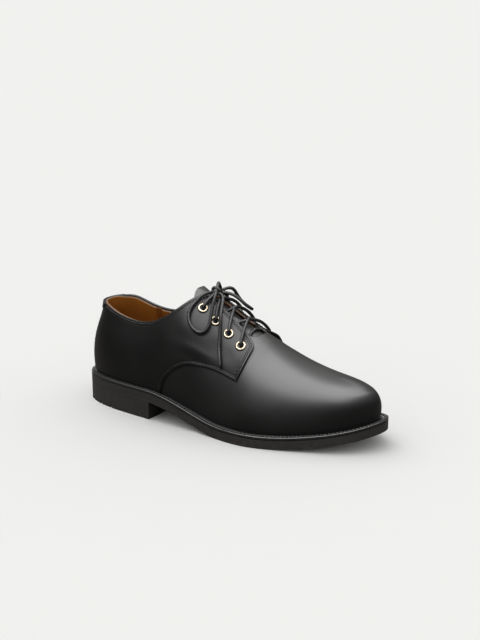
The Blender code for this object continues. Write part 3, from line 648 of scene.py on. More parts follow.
def make_lining(name, light, dark, roughness_low=0.62):
    made, tree, shader = new_finish(name, specular=0.10)
    grain = place_group(tree, grain_group, (("Cells per metre", 900.0), ("Looseness", 0.8)))
    tone = map_range(tree, grain.outputs["Cloud"], 0.30, 0.72)
    colour = mix_colours(tree, tone, light, dark)
    roughness_high = roughness_low + LINING_ROUGHNESS_SPAN
    roughness = map_range(tree, grain.outputs["Cloud"], 0.3, 0.8, roughness_low, roughness_high)
    set_surface(tree, shader, colour, roughness, grain.outputs["Height"], depth=0.00015, strength=0.5)
    return made


calf = make_calf("black_calf", specular=0.21)
calf_quarter = make_calf("black_calf_quarter", specular=0.13, furrows=QUARTER_FURROWS)
calf_tab = make_calf("black_calf_tab", specular=0.14, furrows=TAB_FURROWS)
lining_leather = make_lining("tan_lining", TAN, TAN_DARK)
lining_seam = make_lining("tan_lining_seam", TAN_DARK, SEAM_SHADE)
raw_edge = make_lining("raw_leather_edge", RAW_EDGE, RAW_EDGE_DARK, roughness_low=0.75)
flesh_side = make_lining("dark_flesh_side", FLESH, FLESH_DARK, roughness_low=0.75)
print("leathers:", calf.name, calf_quarter.name, lining_leather.name, raw_edge.name)


# %% [markdown]
# The welt is waxed black leather, the sole and heel are matt rubber with a burnished side, and the
# thread is waxed too. The eyelets are pale brass gone dull in spots, and the laces are a black waxed
# braid with smooth plastic tips.

# %% Sole, thread and metal finishes
WELT_BLACK = (0.0065, 0.0060, 0.0058)
WELT_DUST = (0.040, 0.035, 0.030)
RUBBER_BLACK = (0.0160, 0.0146, 0.0132)
RUBBER_DUST = (0.060, 0.053, 0.046)
BRASS_PALE = (0.175, 0.152, 0.114)
BRASS_DULL = (0.075, 0.057, 0.037)
LACE_BLACK = (0.0035, 0.0034, 0.0034)
LACE_WORN = (0.0095, 0.0092, 0.0090)
THREAD_BLACK = (0.005, 0.0047, 0.0045)
THREAD_WORN = (0.014, 0.013, 0.012)
TIP_BLACK = (0.010, 0.010, 0.010)
TIP_WORN = (0.030, 0.029, 0.028)
# Burnishing drags marks along the sole's side, long in x and y and short in height
BURNISH_SCALE = (40.0, 40.0, 900.0)
SPECK_SHARE = 0.6
BRAID_STRANDS = 1.15


def make_welt_finish():
    made, tree, shader = new_finish("waxed_welt", specular=0.35)
    grain = place_group(tree, grain_group, (("Cells per metre", 1100.0), ("Looseness", 0.9)))
    dust = place_group(tree, dust_group, (("Reach", 0.060), ("Amount", 0.25)))
    colour = mix_colours(tree, dust.outputs["Mask"], WELT_BLACK, WELT_DUST)
    roughness = map_range(tree, grain.outputs["Cloud"], 0.3, 0.7, 0.36, 0.52)
    set_surface(tree, shader, colour, roughness, grain.outputs["Height"], depth=0.00012, strength=0.5)
    return made


def make_rubber():
    made, tree, shader = new_finish("burnished_rubber", specular=0.30)
    spot = object_place(tree)
    flat = add_node(tree, "ShaderNodeMapping", (("Vector", spot), ("Scale", BURNISH_SCALE)))
    marks = noise(tree, flat.outputs[0], 1.0, 4.0)
    specks = noise(tree, spot, 1800.0, 2.0)
    dust = place_group(tree, dust_group, (("Reach", 0.022), ("Amount", 0.28)))
    colour = mix_colours(tree, dust.outputs["Mask"], RUBBER_BLACK, RUBBER_DUST)
    roughness = map_range(tree, marks, 0.3, 0.7, 0.44, 0.60)
    height = math_node(tree, "ADD", marks, math_node(tree, "MULTIPLY", specks, SPECK_SHARE))
    set_surface(tree, shader, colour, roughness, height, depth=0.00006, strength=0.6)
    return made


def make_flecked(name, scale, detail, contrast, colours, roughness, depth, strength, **kind):
    """A finish with fine flecks of a second colour, which its gloss and relief follow."""
    made, tree, shader = new_finish(name, **kind)
    flecks = noise(tree, object_place(tree), scale, detail)
    mask = map_range(tree, flecks, *contrast) if contrast else flecks
    colour = mix_colours(tree, mask, *colours)
    set_surface(tree, shader, colour, map_range(tree, flecks, 0.3, 0.7, *roughness), flecks, depth, strength)
    return made


def make_lace_finish():
    made, tree, shader = new_finish("waxed_lace", specular=0.19)
    strands = (("Strands per mm", BRAID_STRANDS), ("Slant", BRAID_STRANDS))
    weave = place_group(tree, weave_group, strands)
    colour = mix_colours(tree, weave.outputs["Mask"], LACE_BLACK, LACE_WORN)
    roughness = map_range(tree, weave.outputs["Height"], 0.5, 1.0, 0.62, 0.44)
    set_surface(tree, shader, colour, roughness, weave.outputs["Height"], depth=0.00014, strength=0.8)
    return made


welt_finish = make_welt_finish()
rubber = make_rubber()
brass = make_flecked("aged_brass", scale=700.0, detail=4.0, contrast=(0.42, 0.68), metallic=1.0,
                     colours=(BRASS_PALE, BRASS_DULL), roughness=(0.24, 0.42), depth=0.00004, strength=0.4)
lace_cord = make_lace_finish()
thread = make_flecked("waxed_thread", scale=3500.0, detail=3.0, contrast=(0.35, 0.65), specular=0.22,
                      colours=(THREAD_BLACK, THREAD_WORN), roughness=(0.48, 0.62),
                      depth=0.00006, strength=0.6)
tip_plastic = make_flecked("black_tip", scale=900.0, detail=2.0, contrast=None, specular=0.14,
                           colours=(TIP_BLACK, TIP_WORN), roughness=(0.36, 0.48),
                           depth=0.00003, strength=0.5)
print("hard finishes:", welt_finish.name, rubber.name, brass.name, lace_cord.name)


# %% [markdown]
# Pieces are made from Blender's own grid: it is created flat, and each of its points is then put on
# the last by row, part and height. A finished piece rides on the one body of the shoe, hides the
# solids that it stands for and takes its finishes as material slots.

# %% Piece helpers
MERGE_DISTANCE = 0.00001
SMOOTH_ANGLE = 35


def add_piece(name, data, finishes, stands_for=()):
    made = bpy.data.objects.new(name, data)
    for finish in finishes:
        made.data.materials.append(finish)
    bpy.context.scene.collection.objects.link(made)
    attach(made, "root")
    if stands_for:
        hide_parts(*stands_for)
    return made


def mesh_from(name, mesh_edit):
    data = bpy.data.meshes.new(name)
    mesh_edit.to_mesh(data)
    mesh_edit.free()
    return data


def finish_mesh(name, mesh_edit, smooth_angle=SMOOTH_ANGLE, outward=False):
    """A clean, smoothly shaded mesh, with its doubles merged and sharp edges marked."""
    bmesh.ops.remove_doubles(mesh_edit, verts=mesh_edit.verts, dist=MERGE_DISTANCE)
    if outward:
        bmesh.ops.recalc_face_normals(mesh_edit, faces=mesh_edit.faces)
    data = mesh_from(name, mesh_edit)
    data.shade_smooth()
    data.set_sharp_from_angle(angle=radians(smooth_angle))
    return data


def flat_grid(columns, rows):
    """A flat grid of faces, with the column and the row of each of its points."""
    mesh_edit = bmesh.new()
    bmesh.ops.create_grid(mesh_edit, x_segments=columns, y_segments=rows, size=0.5)
    spots = np.array([vert.co[:2] for vert in mesh_edit.verts]) + 0.5
    return mesh_edit, np.rint(spots * [columns, rows]).astype(int)


def last_sheet(places):
    """A grid with its points on the last; places is an array of columns by rows of row, part, height.

    Where a sheet crosses the ridge of the vamp, both sides' places are averaged to one line.
    """
    mesh_edit, index = flat_grid(places.shape[0] - 1, places.shape[1] - 1)
    chosen = places[index[:, 0], index[:, 1]]
    points = on_last(*chosen.T)
    ridge = (chosen[:, 1] > 0.999) & (np.abs(chosen[:, 0] - LAST_ROW) <= LAST_ROW - THROAT_END[-1][0])
    points[ridge] = (points[ridge] + on_last(LOOP - chosen[ridge, 0], *chosen[ridge, 1:].T)) / 2
    for vert, point in zip(mesh_edit.verts, points):
        vert.co = point
    return mesh_edit


def give_wall(made, thickness, inner=0, rim=0):
    """A wall inwards from a sheet, with finishes for its inner side and its rim."""
    wall = made.modifiers.new("wall", "SOLIDIFY")
    wall.thickness = thickness
    wall.offset = -1
    wall.use_even_offset = False
    wall.material_offset = inner
    wall.material_offset_rim = rim
    return wall


def set_edge_distance(data, edges):
    """Store each point's distance to the nearest of some edge lines, in millimetres."""
    points = np.empty(len(data.vertices) * 3)
    data.vertices.foreach_get("co", points)
    points = points.reshape(-1, 3)
    line = np.concatenate(edges)
    gaps = [np.linalg.norm(line - point, axis=1).min() for point in points]
    layer = data.attributes.new("edge_mm", "FLOAT", "POINT")
    layer.data.foreach_set("value", np.array(gaps) / MM)


print("piece helpers ready")


# %% [markdown]
# The facings flare a little at their front corners, where only a stitch holds them to the vamp, so
# their height over the last is not even. The leather is also drawn down a little between the
# eyelets, and lies in a few soft ripples above its lower edge. One function gives that height, for
# the panel, its stitches and its eyelets alike.

# %% Height of the quarters
FLARE = {"lateral": 0.0009, "medial": 0.0024}
FLARE_ROWS = (7.62, 8.10)
FLARE_PARTS = (0.35, 0.55)
# Soft ripples on the quarters, columns: row, part, reach in rows, reach in parts, height in metres
RIPPLES = (
    (6.05, 0.510, 0.80, 0.030, 0.00055),
    (6.20, 0.440, 0.70, 0.022, -0.00030),
    (5.55, 0.640, 0.45, 0.060, 0.00040),
    (5.10, 0.600, 0.30, 0.080, -0.00040),
    (6.75, 0.600, 0.25, 0.060, -0.00035),
    (7.35, 0.600, 0.25, 0.060, -0.00035),
)
SHIFT_PROBE = 0.01


def ripple_height(ripples, row, part):
    """Height that a table of ripples adds at a row and a part."""
    return sum(size * np.exp(-((row - at_row) / wide)**2 - ((part - at_part) / tall)**2)
               for at_row, at_part, wide, tall, size in ripples)


def mirror_row(row, side):
    return row if side == "lateral" else LOOP - row


def quarter_height(row, part, side):
    """Height of the quarter's outer face, with its row counted as on the lateral side."""
    row = np.asarray(row, float)
    part = np.asarray(part, float)
    flare = FLARE[side] * ramp(row, *FLARE_ROWS) * ramp(part, *FLARE_PARTS)
    return QUARTER_STEP + flare + ripple_height(RIPPLES, row, part)


def shifted(places, distance, side):
    """Places moved across the last, to the left of their line's way, by a distance in metres."""
    rows, parts = mirror_row(places[:, 0], side), places[:, 1]
    points = last_point(rows, parts)
    tangent = np.gradient(points, axis=0)
    normal = last_normal(rows, parts)
    left = np.cross(normal, tangent)
    left /= np.linalg.norm(left, axis=1)[:, None]
    if side == "medial":
        left = -left
    step = SHIFT_PROBE
    by_row = (last_point(rows + step, parts) - last_point(rows - step, parts)) / (2 * step)
    by_part = (last_point(rows, parts) - last_point(rows, parts - step)) / step
    moved = []
    for want, first, second in zip(left * distance, by_row, by_part):
        moved.append(np.linalg.lstsq(np.column_stack([first, second]), want, rcond=None)[0])
    moved = np.array(moved) * [1 if side == "lateral" else -1, 1]
    return places[:, :2] + moved


print("facings flare by", FLARE["lateral"] / MM, "and", FLARE["medial"] / MM, "mm")


# %% [markdown]
# The vamp is one piece of leather from the throat over the toe and back under both quarters. Its
# back edge is hidden, and its front end of the opening shows as a small curved edge over the tongue.
# A new shoe has no walking creases, but the leather dips softly across the break, behind the toes.

# %% Vamp
VAMP_WALL = 0.0012
VAMP_BACK = ((4.30, 0.400), (5.00, 0.560), (5.60, 0.690), (6.30, 0.790), (6.90, 0.850))
VAMP_COLUMNS_BACK = 90
VAMP_COLUMNS_FRONT = 90
VAMP_ROWS = 64
VAMP_SMOOTHING = 24
VAMP_MERGE = 0.0001
# The flat top that is smoothed starts at this row, where faces look up at least this much
VAMP_TOP_ROW = 8.4
VAMP_TOP_NORMAL = 0.75
# Soft troughs and ridges, columns: row, part, reach in rows, reach in parts, height in metres
BREAK_FOLDS = (
    (8.62, 0.80, 0.14, 0.22, -0.00008),
    (8.90, 0.86, 0.16, 0.20, 0.00006),
    (9.16, 0.76, 0.14, 0.20, -0.00006),
)


def edge_line(table, count):
    return smooth_curve(table)(np.linspace(0, len(table) - 1, count))


def fold_height(row, part):
    return ripple_height(BREAK_FOLDS, np.minimum(row, LOOP - row), part)


def closed_loop(lateral):
    """A lateral edge from the back to the toe, with the medial one back again."""
    return np.concatenate([lateral, lateral[-2::-1] * [-1, 1] + [LOOP, 0]])


def shell_places(edge, rows, height):
    """Columns from the welt up to an edge."""
    parts = np.linspace(0, 1, rows)
    places = np.empty((len(edge), rows, 3))
    places[:, :, 0] = edge[:, :1]
    places[:, :, 1] = edge[:, 1:] * parts
    places[:, :, 2] = height(places[:, :, 0], places[:, :, 1])
    return places


def make_vamp():
    back = edge_line(VAMP_BACK + THROAT_END, VAMP_COLUMNS_BACK)
    front = np.linspace(THROAT_END[-1][0], LAST_ROW, VAMP_COLUMNS_FRONT)[1:]
    lateral = np.concatenate([back, np.column_stack([front, np.ones(len(front))])])
    edge = closed_loop(lateral)
    mesh_edit = last_sheet(shell_places(edge, VAMP_ROWS, fold_height))
    bmesh.ops.remove_doubles(mesh_edit, verts=mesh_edit.verts, dist=VAMP_MERGE)
    mesh_edit.normal_update()
    top_start = last_point(VAMP_TOP_ROW, 1.0)[0, 0]
    flat = [vert for vert in mesh_edit.verts
            if vert.normal.z > VAMP_TOP_NORMAL and vert.co.x > top_start and not vert.is_boundary]
    for _ in range(VAMP_SMOOTHING):
        bmesh.ops.smooth_vert(mesh_edit, verts=flat, factor=0.5,
                              use_axis_x=True, use_axis_y=True, use_axis_z=True)
    data = finish_mesh("vamp", mesh_edit)
    made = add_piece("vamp", data, [calf, lining_leather, raw_edge], ["upper"])
    give_wall(made, VAMP_WALL, inner=1, rim=0)
    return made


vamp = make_vamp()
print("vamp has", len(vamp.data.vertices), "points")


# %% [markdown]
# The two quarters carry the facings and meet at the back of the heel. Each is a grid between its top
# edge and its bottom edge. Rows crowd near both edges, where the leather is skived and rounds off.

# %% Quarters
QUARTER_WALL = 0.0014
# The part of the bottom edge that shows, from the welt to the facing's corner
QUARTER_SEAM = ((4.610, 0.000), (4.648, 0.048)) + QUARTER_LOW[9:]
QUARTER_COLUMNS = 230
QUARTER_INNER_ROWS = 30
QUARTER_LEAST_PART = 0.002
EDGE_DETAIL = 900
STRIP_LEAST = 2.3
EDGE_STEPS = np.array([0.0, 0.18, 0.42, 0.80, 1.40, 2.20]) * MM
EDGE_ROLL = np.array([0.40, 0.14, 0.03, 0.0, 0.0, 0.0]) * MM


def strip_shares(span):
    """Shares across a strip of some width, crowded at both edges."""
    near = EDGE_STEPS / np.maximum(span, STRIP_LEAST * EDGE_STEPS[-1])
    middle = np.linspace(near[-1], 1 - near[-1], QUARTER_INNER_ROWS)[1:-1]
    return np.concatenate([near, middle, 1 - near[::-1]])


def strip_places(low, top, side, height, roll):
    """Places of a strip from its bottom edge to its top edge, with rolled edges."""
    low_points = last_point(mirror_row(low[:, 0], side), low[:, 1])
    top_points = last_point(mirror_row(top[:, 0], side), top[:, 1])
    spans = np.linalg.norm(top_points - low_points, axis=1)
    columns = []
    for first, second, span in zip(low, top, spans):
        shares = strip_shares(span)[:, None]
        columns.append(first * (1 - shares) + second * shares)
    places = np.array(columns)
    heights = height(places[:, :, 0], places[:, :, 1])
    drop = np.zeros(places.shape[1])
    drop[:len(roll)] = roll
    drop[-len(roll):] = np.maximum(drop[-len(roll):], roll[::-1])
    return np.dstack([places, heights - drop])


def sided(places, side):
    """The same places on the other side, in the order that keeps the faces outward."""
    if side == "medial":
        places = places[::-1].copy()
        places[:, :, 0] = LOOP - places[:, :, 0]
    return places


def make_quarter(side):
    top = edge_line(QUARTER_TOP, QUARTER_COLUMNS)
    low = edge_line(QUARTER_LOW, QUARTER_COLUMNS)
    low[:, 1] = np.maximum(low[:, 1], QUARTER_LEAST_PART)
    places = strip_places(low, top, side, lambda row, part: quarter_height(row, part, side), EDGE_ROLL)
    name = f"quarter_{side}"
    data = finish_mesh(name, last_sheet(sided(places, side)))
    lines = []
    for table in (QUARTER_TOP, QUARTER_SEAM):
        edge = edge_line(table, EDGE_DETAIL)
        rows = mirror_row(edge[:, 0], side)
        lines.append(on_last(rows, edge[:, 1], quarter_height(edge[:, 0], edge[:, 1], side)))
    set_edge_distance(data, lines)
    made = add_piece(name, data, [calf_quarter, flesh_side])
    give_wall(made, QUARTER_WALL, inner=1)
    return made


quarters = [make_quarter(side) for side in ("lateral", "medial")]
print("quarters have", [len(quarter.data.vertices) for quarter in quarters], "points")


# %% [markdown]
# Inside, the shoe is lined with tan leather from the collar to the toe. The lining is a second wall
# behind the quarters, with a small gap, and its raw edge is pale where it ends along the collar. A
# strip covers the seam on each inner side.

# %% Lining
LINING_SET = -0.0005
LINING_WALL = 0.0013
# Columns of the lining along the collar and facings, round the throat and over the toe
LINING_COLUMNS = (260, 40, 50)
LINING_ROWS = 40
LINING_THROAT_DROP = 0.004
LINING_TOE_PART = 0.996
# The dark band above the medial lining, as a part, and the rows where it starts and ends
COLLAR_BAND = 0.030
BAND_START = (0.3, 1.0)
BAND_END = (5.2, 5.9)
SEAM_ROW = 2.72
SEAM_WIDTH = 0.0070
SEAM_RISE = 0.0006
SEAM_PARTS = (0.03, 0.765)
SEAM_POINTS = (9, 50)


def make_lining_piece():
    back_columns, throat_columns, toe_columns = LINING_COLUMNS
    back = edge_line(QUARTER_TOP, back_columns)
    back = back[back[:, 0] < THROAT_END[0][0]]
    throat = edge_line(THROAT_END, throat_columns) - [0, LINING_THROAT_DROP]
    front = np.linspace(THROAT_END[-1][0], LAST_ROW, toe_columns)[1:]
    lateral = np.concatenate([back, throat, np.column_stack([front, np.full(len(front), LINING_TOE_PART)])])
    edge = closed_loop(lateral)
    medial = LOOP - edge[:, 0]
    band = COLLAR_BAND * ramp(medial, *BAND_START) * (1 - ramp(medial, *BAND_END))
    edge[:, 1] -= np.where(medial < LAST_ROW, band, 0)
    mesh_edit = last_sheet(shell_places(edge, LINING_ROWS, lambda row, part: np.full(row.shape, LINING_SET)))
    data = finish_mesh("lining", mesh_edit)
    made = add_piece("lining", data, [lining_leather, raw_edge])
    give_wall(made, LINING_WALL, inner=0, rim=1)
    return made


def make_seam_strip(side):
    """The strip over the lining's seam, on the inner face."""
    half = SEAM_WIDTH / 2
    across = np.linspace(-1, 1, SEAM_POINTS[0])
    row_step = np.linalg.norm(last_point(SEAM_ROW + 0.5, 0.6) - last_point(SEAM_ROW - 0.5, 0.6))
    parts = np.linspace(*SEAM_PARTS, SEAM_POINTS[1])
    places = np.empty((len(across), len(parts), 3))
    places[:, :, 0] = SEAM_ROW + across[:, None] * half / row_step
    places[:, :, 1] = parts
    places[:, :, 2] = LINING_SET - LINING_WALL - SEAM_RISE * (1 - across[:, None]**6)
    name = f"lining_seam_{side}"
    data = finish_mesh(name, last_sheet(sided(places, side)))
    made = add_piece(name, data, [lining_seam])
    give_wall(made, -SEAM_RISE)
    return made


lining = make_lining_piece()
seam_strips = [make_seam_strip(side) for side in ("lateral", "medial")]
print("lining has", len(lining.data.vertices), "points and", len(seam_strips), "seam strips")


# %% [markdown]
# A small tab laps over the back seam at the collar and keeps it from tearing when the shoe is pulled
# on. It is one more layer over the quarters.

# %% Heel tab
TAB_COLUMNS = 60
TAB_ROWS = 24
TAB_UNDER_EDGE = 0.001
TAB_LEAST_DROP = 0.012
TAB_CURVE = 0.8
TAB_EDGE_SHARE = 0.45
TAB_ROUNDING = (6, 9)
TAB_WALL_MORE = 0.0004


def collar_part(row):
    edge = edge_line(QUARTER_TOP, 400)[:140]
    return np.interp(np.abs(row), edge[:, 0], edge[:, 1])


def make_heel_tab():
    across = np.linspace(-1, 1, TAB_COLUMNS)
    rows = TAB_ROW + TAB_HALF * across
    top = collar_part(rows) - TAB_UNDER_EDGE
    low = top - TAB_LEAST_DROP - TAB_DROP * (1 - across**2)**TAB_CURVE
    shares = np.linspace(0, 1, TAB_ROWS)
    by_side, by_low_edge = TAB_ROUNDING
    rounded = np.minimum(1, (1 - across**2) * by_side)[:, None] * np.minimum(1, shares * by_low_edge)
    places = np.empty((TAB_COLUMNS, TAB_ROWS, 3))
    places[:, :, 0] = rows[:, None]
    places[:, :, 1] = low[:, None] + (top - low)[:, None] * shares
    places[:, :, 2] = QUARTER_STEP + TAB_STEP * (TAB_EDGE_SHARE + (1 - TAB_EDGE_SHARE) * np.sqrt(rounded))
    data = finish_mesh("heel_tab", last_sheet(places))
    line = on_last(rows, low, QUARTER_STEP + TAB_STEP)
    set_edge_distance(data, [even_points(line, 0.0002)])
    made = add_piece("heel_tab", data, [calf_tab])
    give_wall(made, TAB_STEP + TAB_WALL_MORE)
    return made


heel_tab = make_heel_tab()
print("heel tab has", len(heel_tab.data.vertices), "points")


# %% [markdown]
# The tongue is stitched under the throat and lies on the instep. It is black outside and tan inside,
# with a faint wave across between the facings.

# %% Tongue
TONGUE_COLUMNS = 80
TONGUE_ROWS = 24
TONGUE_SMOOTHING = 12
TONGUE_WAVE = 0.0003


def across_ridge(lateral, medial):
    """One line across the ridge from a lateral and a medial half."""
    middle = (lateral[-1:] + medial[-1:]) / 2
    return np.concatenate([lateral[:-1], middle, medial[-2::-1]])


def make_tongue():
    grid = []
    for row, part in edge_line(TONGUE_SIDE, TONGUE_COLUMNS):
        rows = np.full(TONGUE_ROWS, row)
        parts = np.linspace(part, 1, TONGUE_ROWS)
        points = across_ridge(last_point(rows, parts), last_point(LOOP - rows, parts))
        normals = across_ridge(last_normal(rows, parts), last_normal(LOOP - rows, parts))
        normals /= np.linalg.norm(normals, axis=1)[:, None]
        spread = np.abs(np.linspace(-1, 1, len(points)))
        drop = UPPER_WALL + TONGUE_DROP + TONGUE_WAVE * np.cos(spread * 9 + row * 5) * (1 - spread)
        line = points - normals * drop[:, None]
        run = run_length(line)
        line = even_points(line, run[-1] / (len(line) - 1))
        for _ in range(TONGUE_SMOOTHING):
            line[1:-1] = (line[:-2] + 2 * line[1:-1] + line[2:]) / 4
        grid.append(line)
    grid = np.array(grid)
    mesh_edit, index = flat_grid(grid.shape[0] - 1, grid.shape[1] - 1)
    for vert, (i, j) in zip(mesh_edit.verts, index):
        vert.co = grid[i, j]
    data = finish_mesh("tongue_leather", mesh_edit)
    made = add_piece("tongue_leather", data, [calf, lining_leather, raw_edge], ["tongue"])
    give_wall(made, TONGUE_WALL, inner=1, rim=2)
    return made


tongue = make_tongue()
print("tongue has", len(tongue.data.vertices), "points")


# %% [markdown]
# The sole's pieces all follow one outline. A grid is laid between the outline's two sides, from heel
# to toe, and extruded upwards, so the top copies the bottom's arch and spring. A Bevel modifier
# rounds the cut edges.

# %% Sole slabs
SOLE_COLUMNS = 260
SOLE_ROWS = 18
BEVEL_SEGMENTS = 3
BEVEL_ANGLE = 50


def outline_grid(height, inset=0.0):
    """A sheet that fills the outline, at a height that depends on x."""
    loop = edge_points(2 * SOLE_COLUMNS, inset)
    mesh_edit = bmesh.new()
    bmesh.ops.create_grid(mesh_edit, x_segments=SOLE_COLUMNS, y_segments=SOLE_ROWS, size=0.5)
    for vert in mesh_edit.verts:
        column = round((vert.co.x + 0.5) * SOLE_COLUMNS)
        across = vert.co.y + 0.5
        flat = loop[column] * (1 - across) + loop[-column] * across
        vert.co = (*flat, 0)
    bmesh.ops.remove_doubles(mesh_edit, verts=mesh_edit.verts, dist=MERGE_DISTANCE)
    for vert in mesh_edit.verts:
        vert.co.z = height(vert.co.x)
    return mesh_edit


def raise_slab(mesh_edit, top):
    """Extrude a sheet up to a height that depends on x."""
    raised = bmesh.ops.extrude_face_region(mesh_edit, geom=mesh_edit.faces[:], use_keep_orig=True)["geom"]
    for vert in [item for item in raised if isinstance(item, bmesh.types.BMVert)]:
        vert.co.z = top(vert.co.x)
    bmesh.ops.recalc_face_normals(mesh_edit, faces=mesh_edit.faces)
    return mesh_edit


def round_edges(made, width):
    step = made.modifiers.new("rounded", "BEVEL")
    step.width = width
    step.segments = BEVEL_SEGMENTS
    step.limit_method = "ANGLE"
    step.angle_limit = radians(BEVEL_ANGLE)
    step.harden_normals = False


def cutter_of(name, mesh_edit):
    made = bpy.data.objects.new(name, mesh_from(name, mesh_edit))
    bpy.context.scene.collection.objects.link(made)
    return made


def cut_away(made, cutter):
    """Cut a shape out of a piece for good, and remove the cutter."""
    step = made.modifiers.new("cut", "BOOLEAN")
    step.object = cutter
    step.operation = "DIFFERENCE"
    step.solver = "EXACT"
    graph = bpy.context.evaluated_depsgraph_get()
    data = bpy.data.meshes.new_from_object(made.evaluated_get(graph))
    made.modifiers.remove(step)
    made.data = data
    bpy.data.objects.remove(cutter, do_unlink=True)


def add_block(mesh_edit, size, place, turn=0.0, tilt=0.0):
    block = bmesh.ops.create_cube(mesh_edit, size=1.0)["verts"]
    matrix = Matrix.Translation(place) @ Matrix.Rotation(turn, 4, "Z") @ Matrix.Rotation(tilt, 4, "Y")
    bmesh.ops.transform(mesh_edit, matrix=matrix @ Matrix.Diagonal((*size, 1)), verts=block)


print("sole helpers ready")


# %% [markdown]
# The rubber outsole has bars across the forefoot with grooves between them, inside a smooth rim.
# The grooves are cut with blocks, as the mould would leave them.

# %% Outsole
GROOVES = (0.600, 0.640, 0.680, 0.720, 0.760, 0.800, 0.840)
GROOVE_WIDTH = 0.0040
GROOVE_DEPTH = 0.0020
GROOVE_BORDER = 0.0150
OUTSOLE_ROUNDING = 0.0007


def edge_at(x):
    edge = edge_points(OUTLINE_DETAIL)
    sides = []
    for half in (edge[edge[:, 1] < 0], edge[edge[:, 1] > 0]):
        order = np.argsort(half[:, 0])
        sides.append(float(np.interp(x, half[order, 0], half[order, 1])))
    return sides


def make_outsole():
    mesh_edit = raise_slab(outline_grid(underside), lambda x: underside(x) + SOLE_THICK)
    data = finish_mesh("outsole_rubber", mesh_edit)
    made = add_piece("outsole_rubber", data, [rubber], ["outsole"])
    blocks = bmesh.new()
    for part in GROOVES:
        x = station(part)
        lateral, medial = edge_at(x)
        slope = float(underside(x + MM) - underside(x - MM)) / (2 * MM)
        size = (GROOVE_WIDTH, medial - lateral - 2 * GROOVE_BORDER, 2 * GROOVE_DEPTH)
        add_block(blocks, size, (x, (lateral + medial) / 2, float(underside(x))), tilt=-slope)
    cut_away(made, cutter_of("groove_blocks", blocks))
    made.data.set_sharp_from_angle(angle=radians(SMOOTH_ANGLE))
    round_edges(made, OUTSOLE_ROUNDING)
    return made


outsole = make_outsole()
print("outsole has", len(outsole.data.vertices), "points")


# %% [markdown]
# The heel is one block under the outsole, with a straight front called the breast and gaps between
# the lugs round its foot.

# %% Heel
NOTCH_ANGLES = (-98, -74, -48, -20, 8, 36, 62, 86)
NOTCH_WIDTH = 0.0030
NOTCH_DEPTH = 0.0022
NOTCH_REACH = 0.0110
HEEL_JOINT = 0.00002
HEEL_ROUNDING = 0.0008


def make_heel():
    mesh_edit = raise_slab(outline_grid(lambda x: 0.0 * x), lambda x: underside(x) - HEEL_JOINT)
    geometry = mesh_edit.verts[:] + mesh_edit.edges[:] + mesh_edit.faces[:]
    bmesh.ops.bisect_plane(mesh_edit, geom=geometry, plane_co=(station(BREAST_SHARE), 0, 0),
                           plane_no=(1, 0, 0), clear_outer=True)
    rim = [edge for edge in mesh_edit.edges if edge.is_boundary]
    bmesh.ops.contextual_create(mesh_edit, geom=rim)
    bmesh.ops.recalc_face_normals(mesh_edit, faces=mesh_edit.faces)
    made = add_piece("heel_block", finish_mesh("heel_block", mesh_edit), [rubber], ["heel"])
    blocks = bmesh.new()
    edge = edge_points(OUTLINE_DETAIL)
    for angle in NOTCH_ANGLES:
        way = np.array([-cos(radians(angle)), sin(radians(angle))])
        side = np.array([-way[1], way[0]])
        ahead = edge[edge @ way > 0]
        hit = ahead[np.abs(ahead @ side).argmin()]
        place = hit - way * (NOTCH_REACH / 2 - NOTCH_WIDTH)
        size = (NOTCH_REACH + 2 * NOTCH_WIDTH, NOTCH_WIDTH, 2 * NOTCH_DEPTH)
        add_block(blocks, size, (*place, 0), turn=atan2(way[1], way[0]))
    cut_away(made, cutter_of("lug_gaps", blocks))
    made.data.set_sharp_from_angle(angle=radians(SMOOTH_ANGLE))
    round_edges(made, HEEL_ROUNDING)
    return made


heel = make_heel()
print("heel has", len(heel.data.vertices), "points")


# %% [markdown]
# The welt is a strip all round between upper and sole. Its profile is drawn once, as distances from
# the outer edge and heights, and carried round the outline. A wheel has pressed fine ridges across
# its top, and a row of thick stitches lies in a shallow channel.

# %% Welt
WELT_POINTS = 2400
RIDGE_COUNT = 440
RIDGE_DEPTH = 0.00035
WELT_SMOOTH_ANGLE = 50
# Profile in metres, columns: distance from the outer edge, height over the welt's underside, ridge share
WELT_PROFILE = (
    (0.01650, 0.00000, 0.0), (0.00060, 0.00000, 0.0), (0.00018, 0.00012, 0.0), (0.00000, 0.00050, 0.0),
    (0.00000, 0.00200, 0.0), (0.00012, 0.00245, 0.0), (0.00045, 0.00272, 0.0), (0.00090, 0.00280, 0.2),
    (0.00130, 0.00278, 1.0), (0.00200, 0.00270, 1.0), (0.00250, 0.00240, 0.5), (0.00310, 0.00240, 0.5),
    (0.00360, 0.00272, 1.0), (0.00430, 0.00278, 1.0), (0.00520, 0.00280, 0.3), (0.01650, 0.00280, 0.0),
)


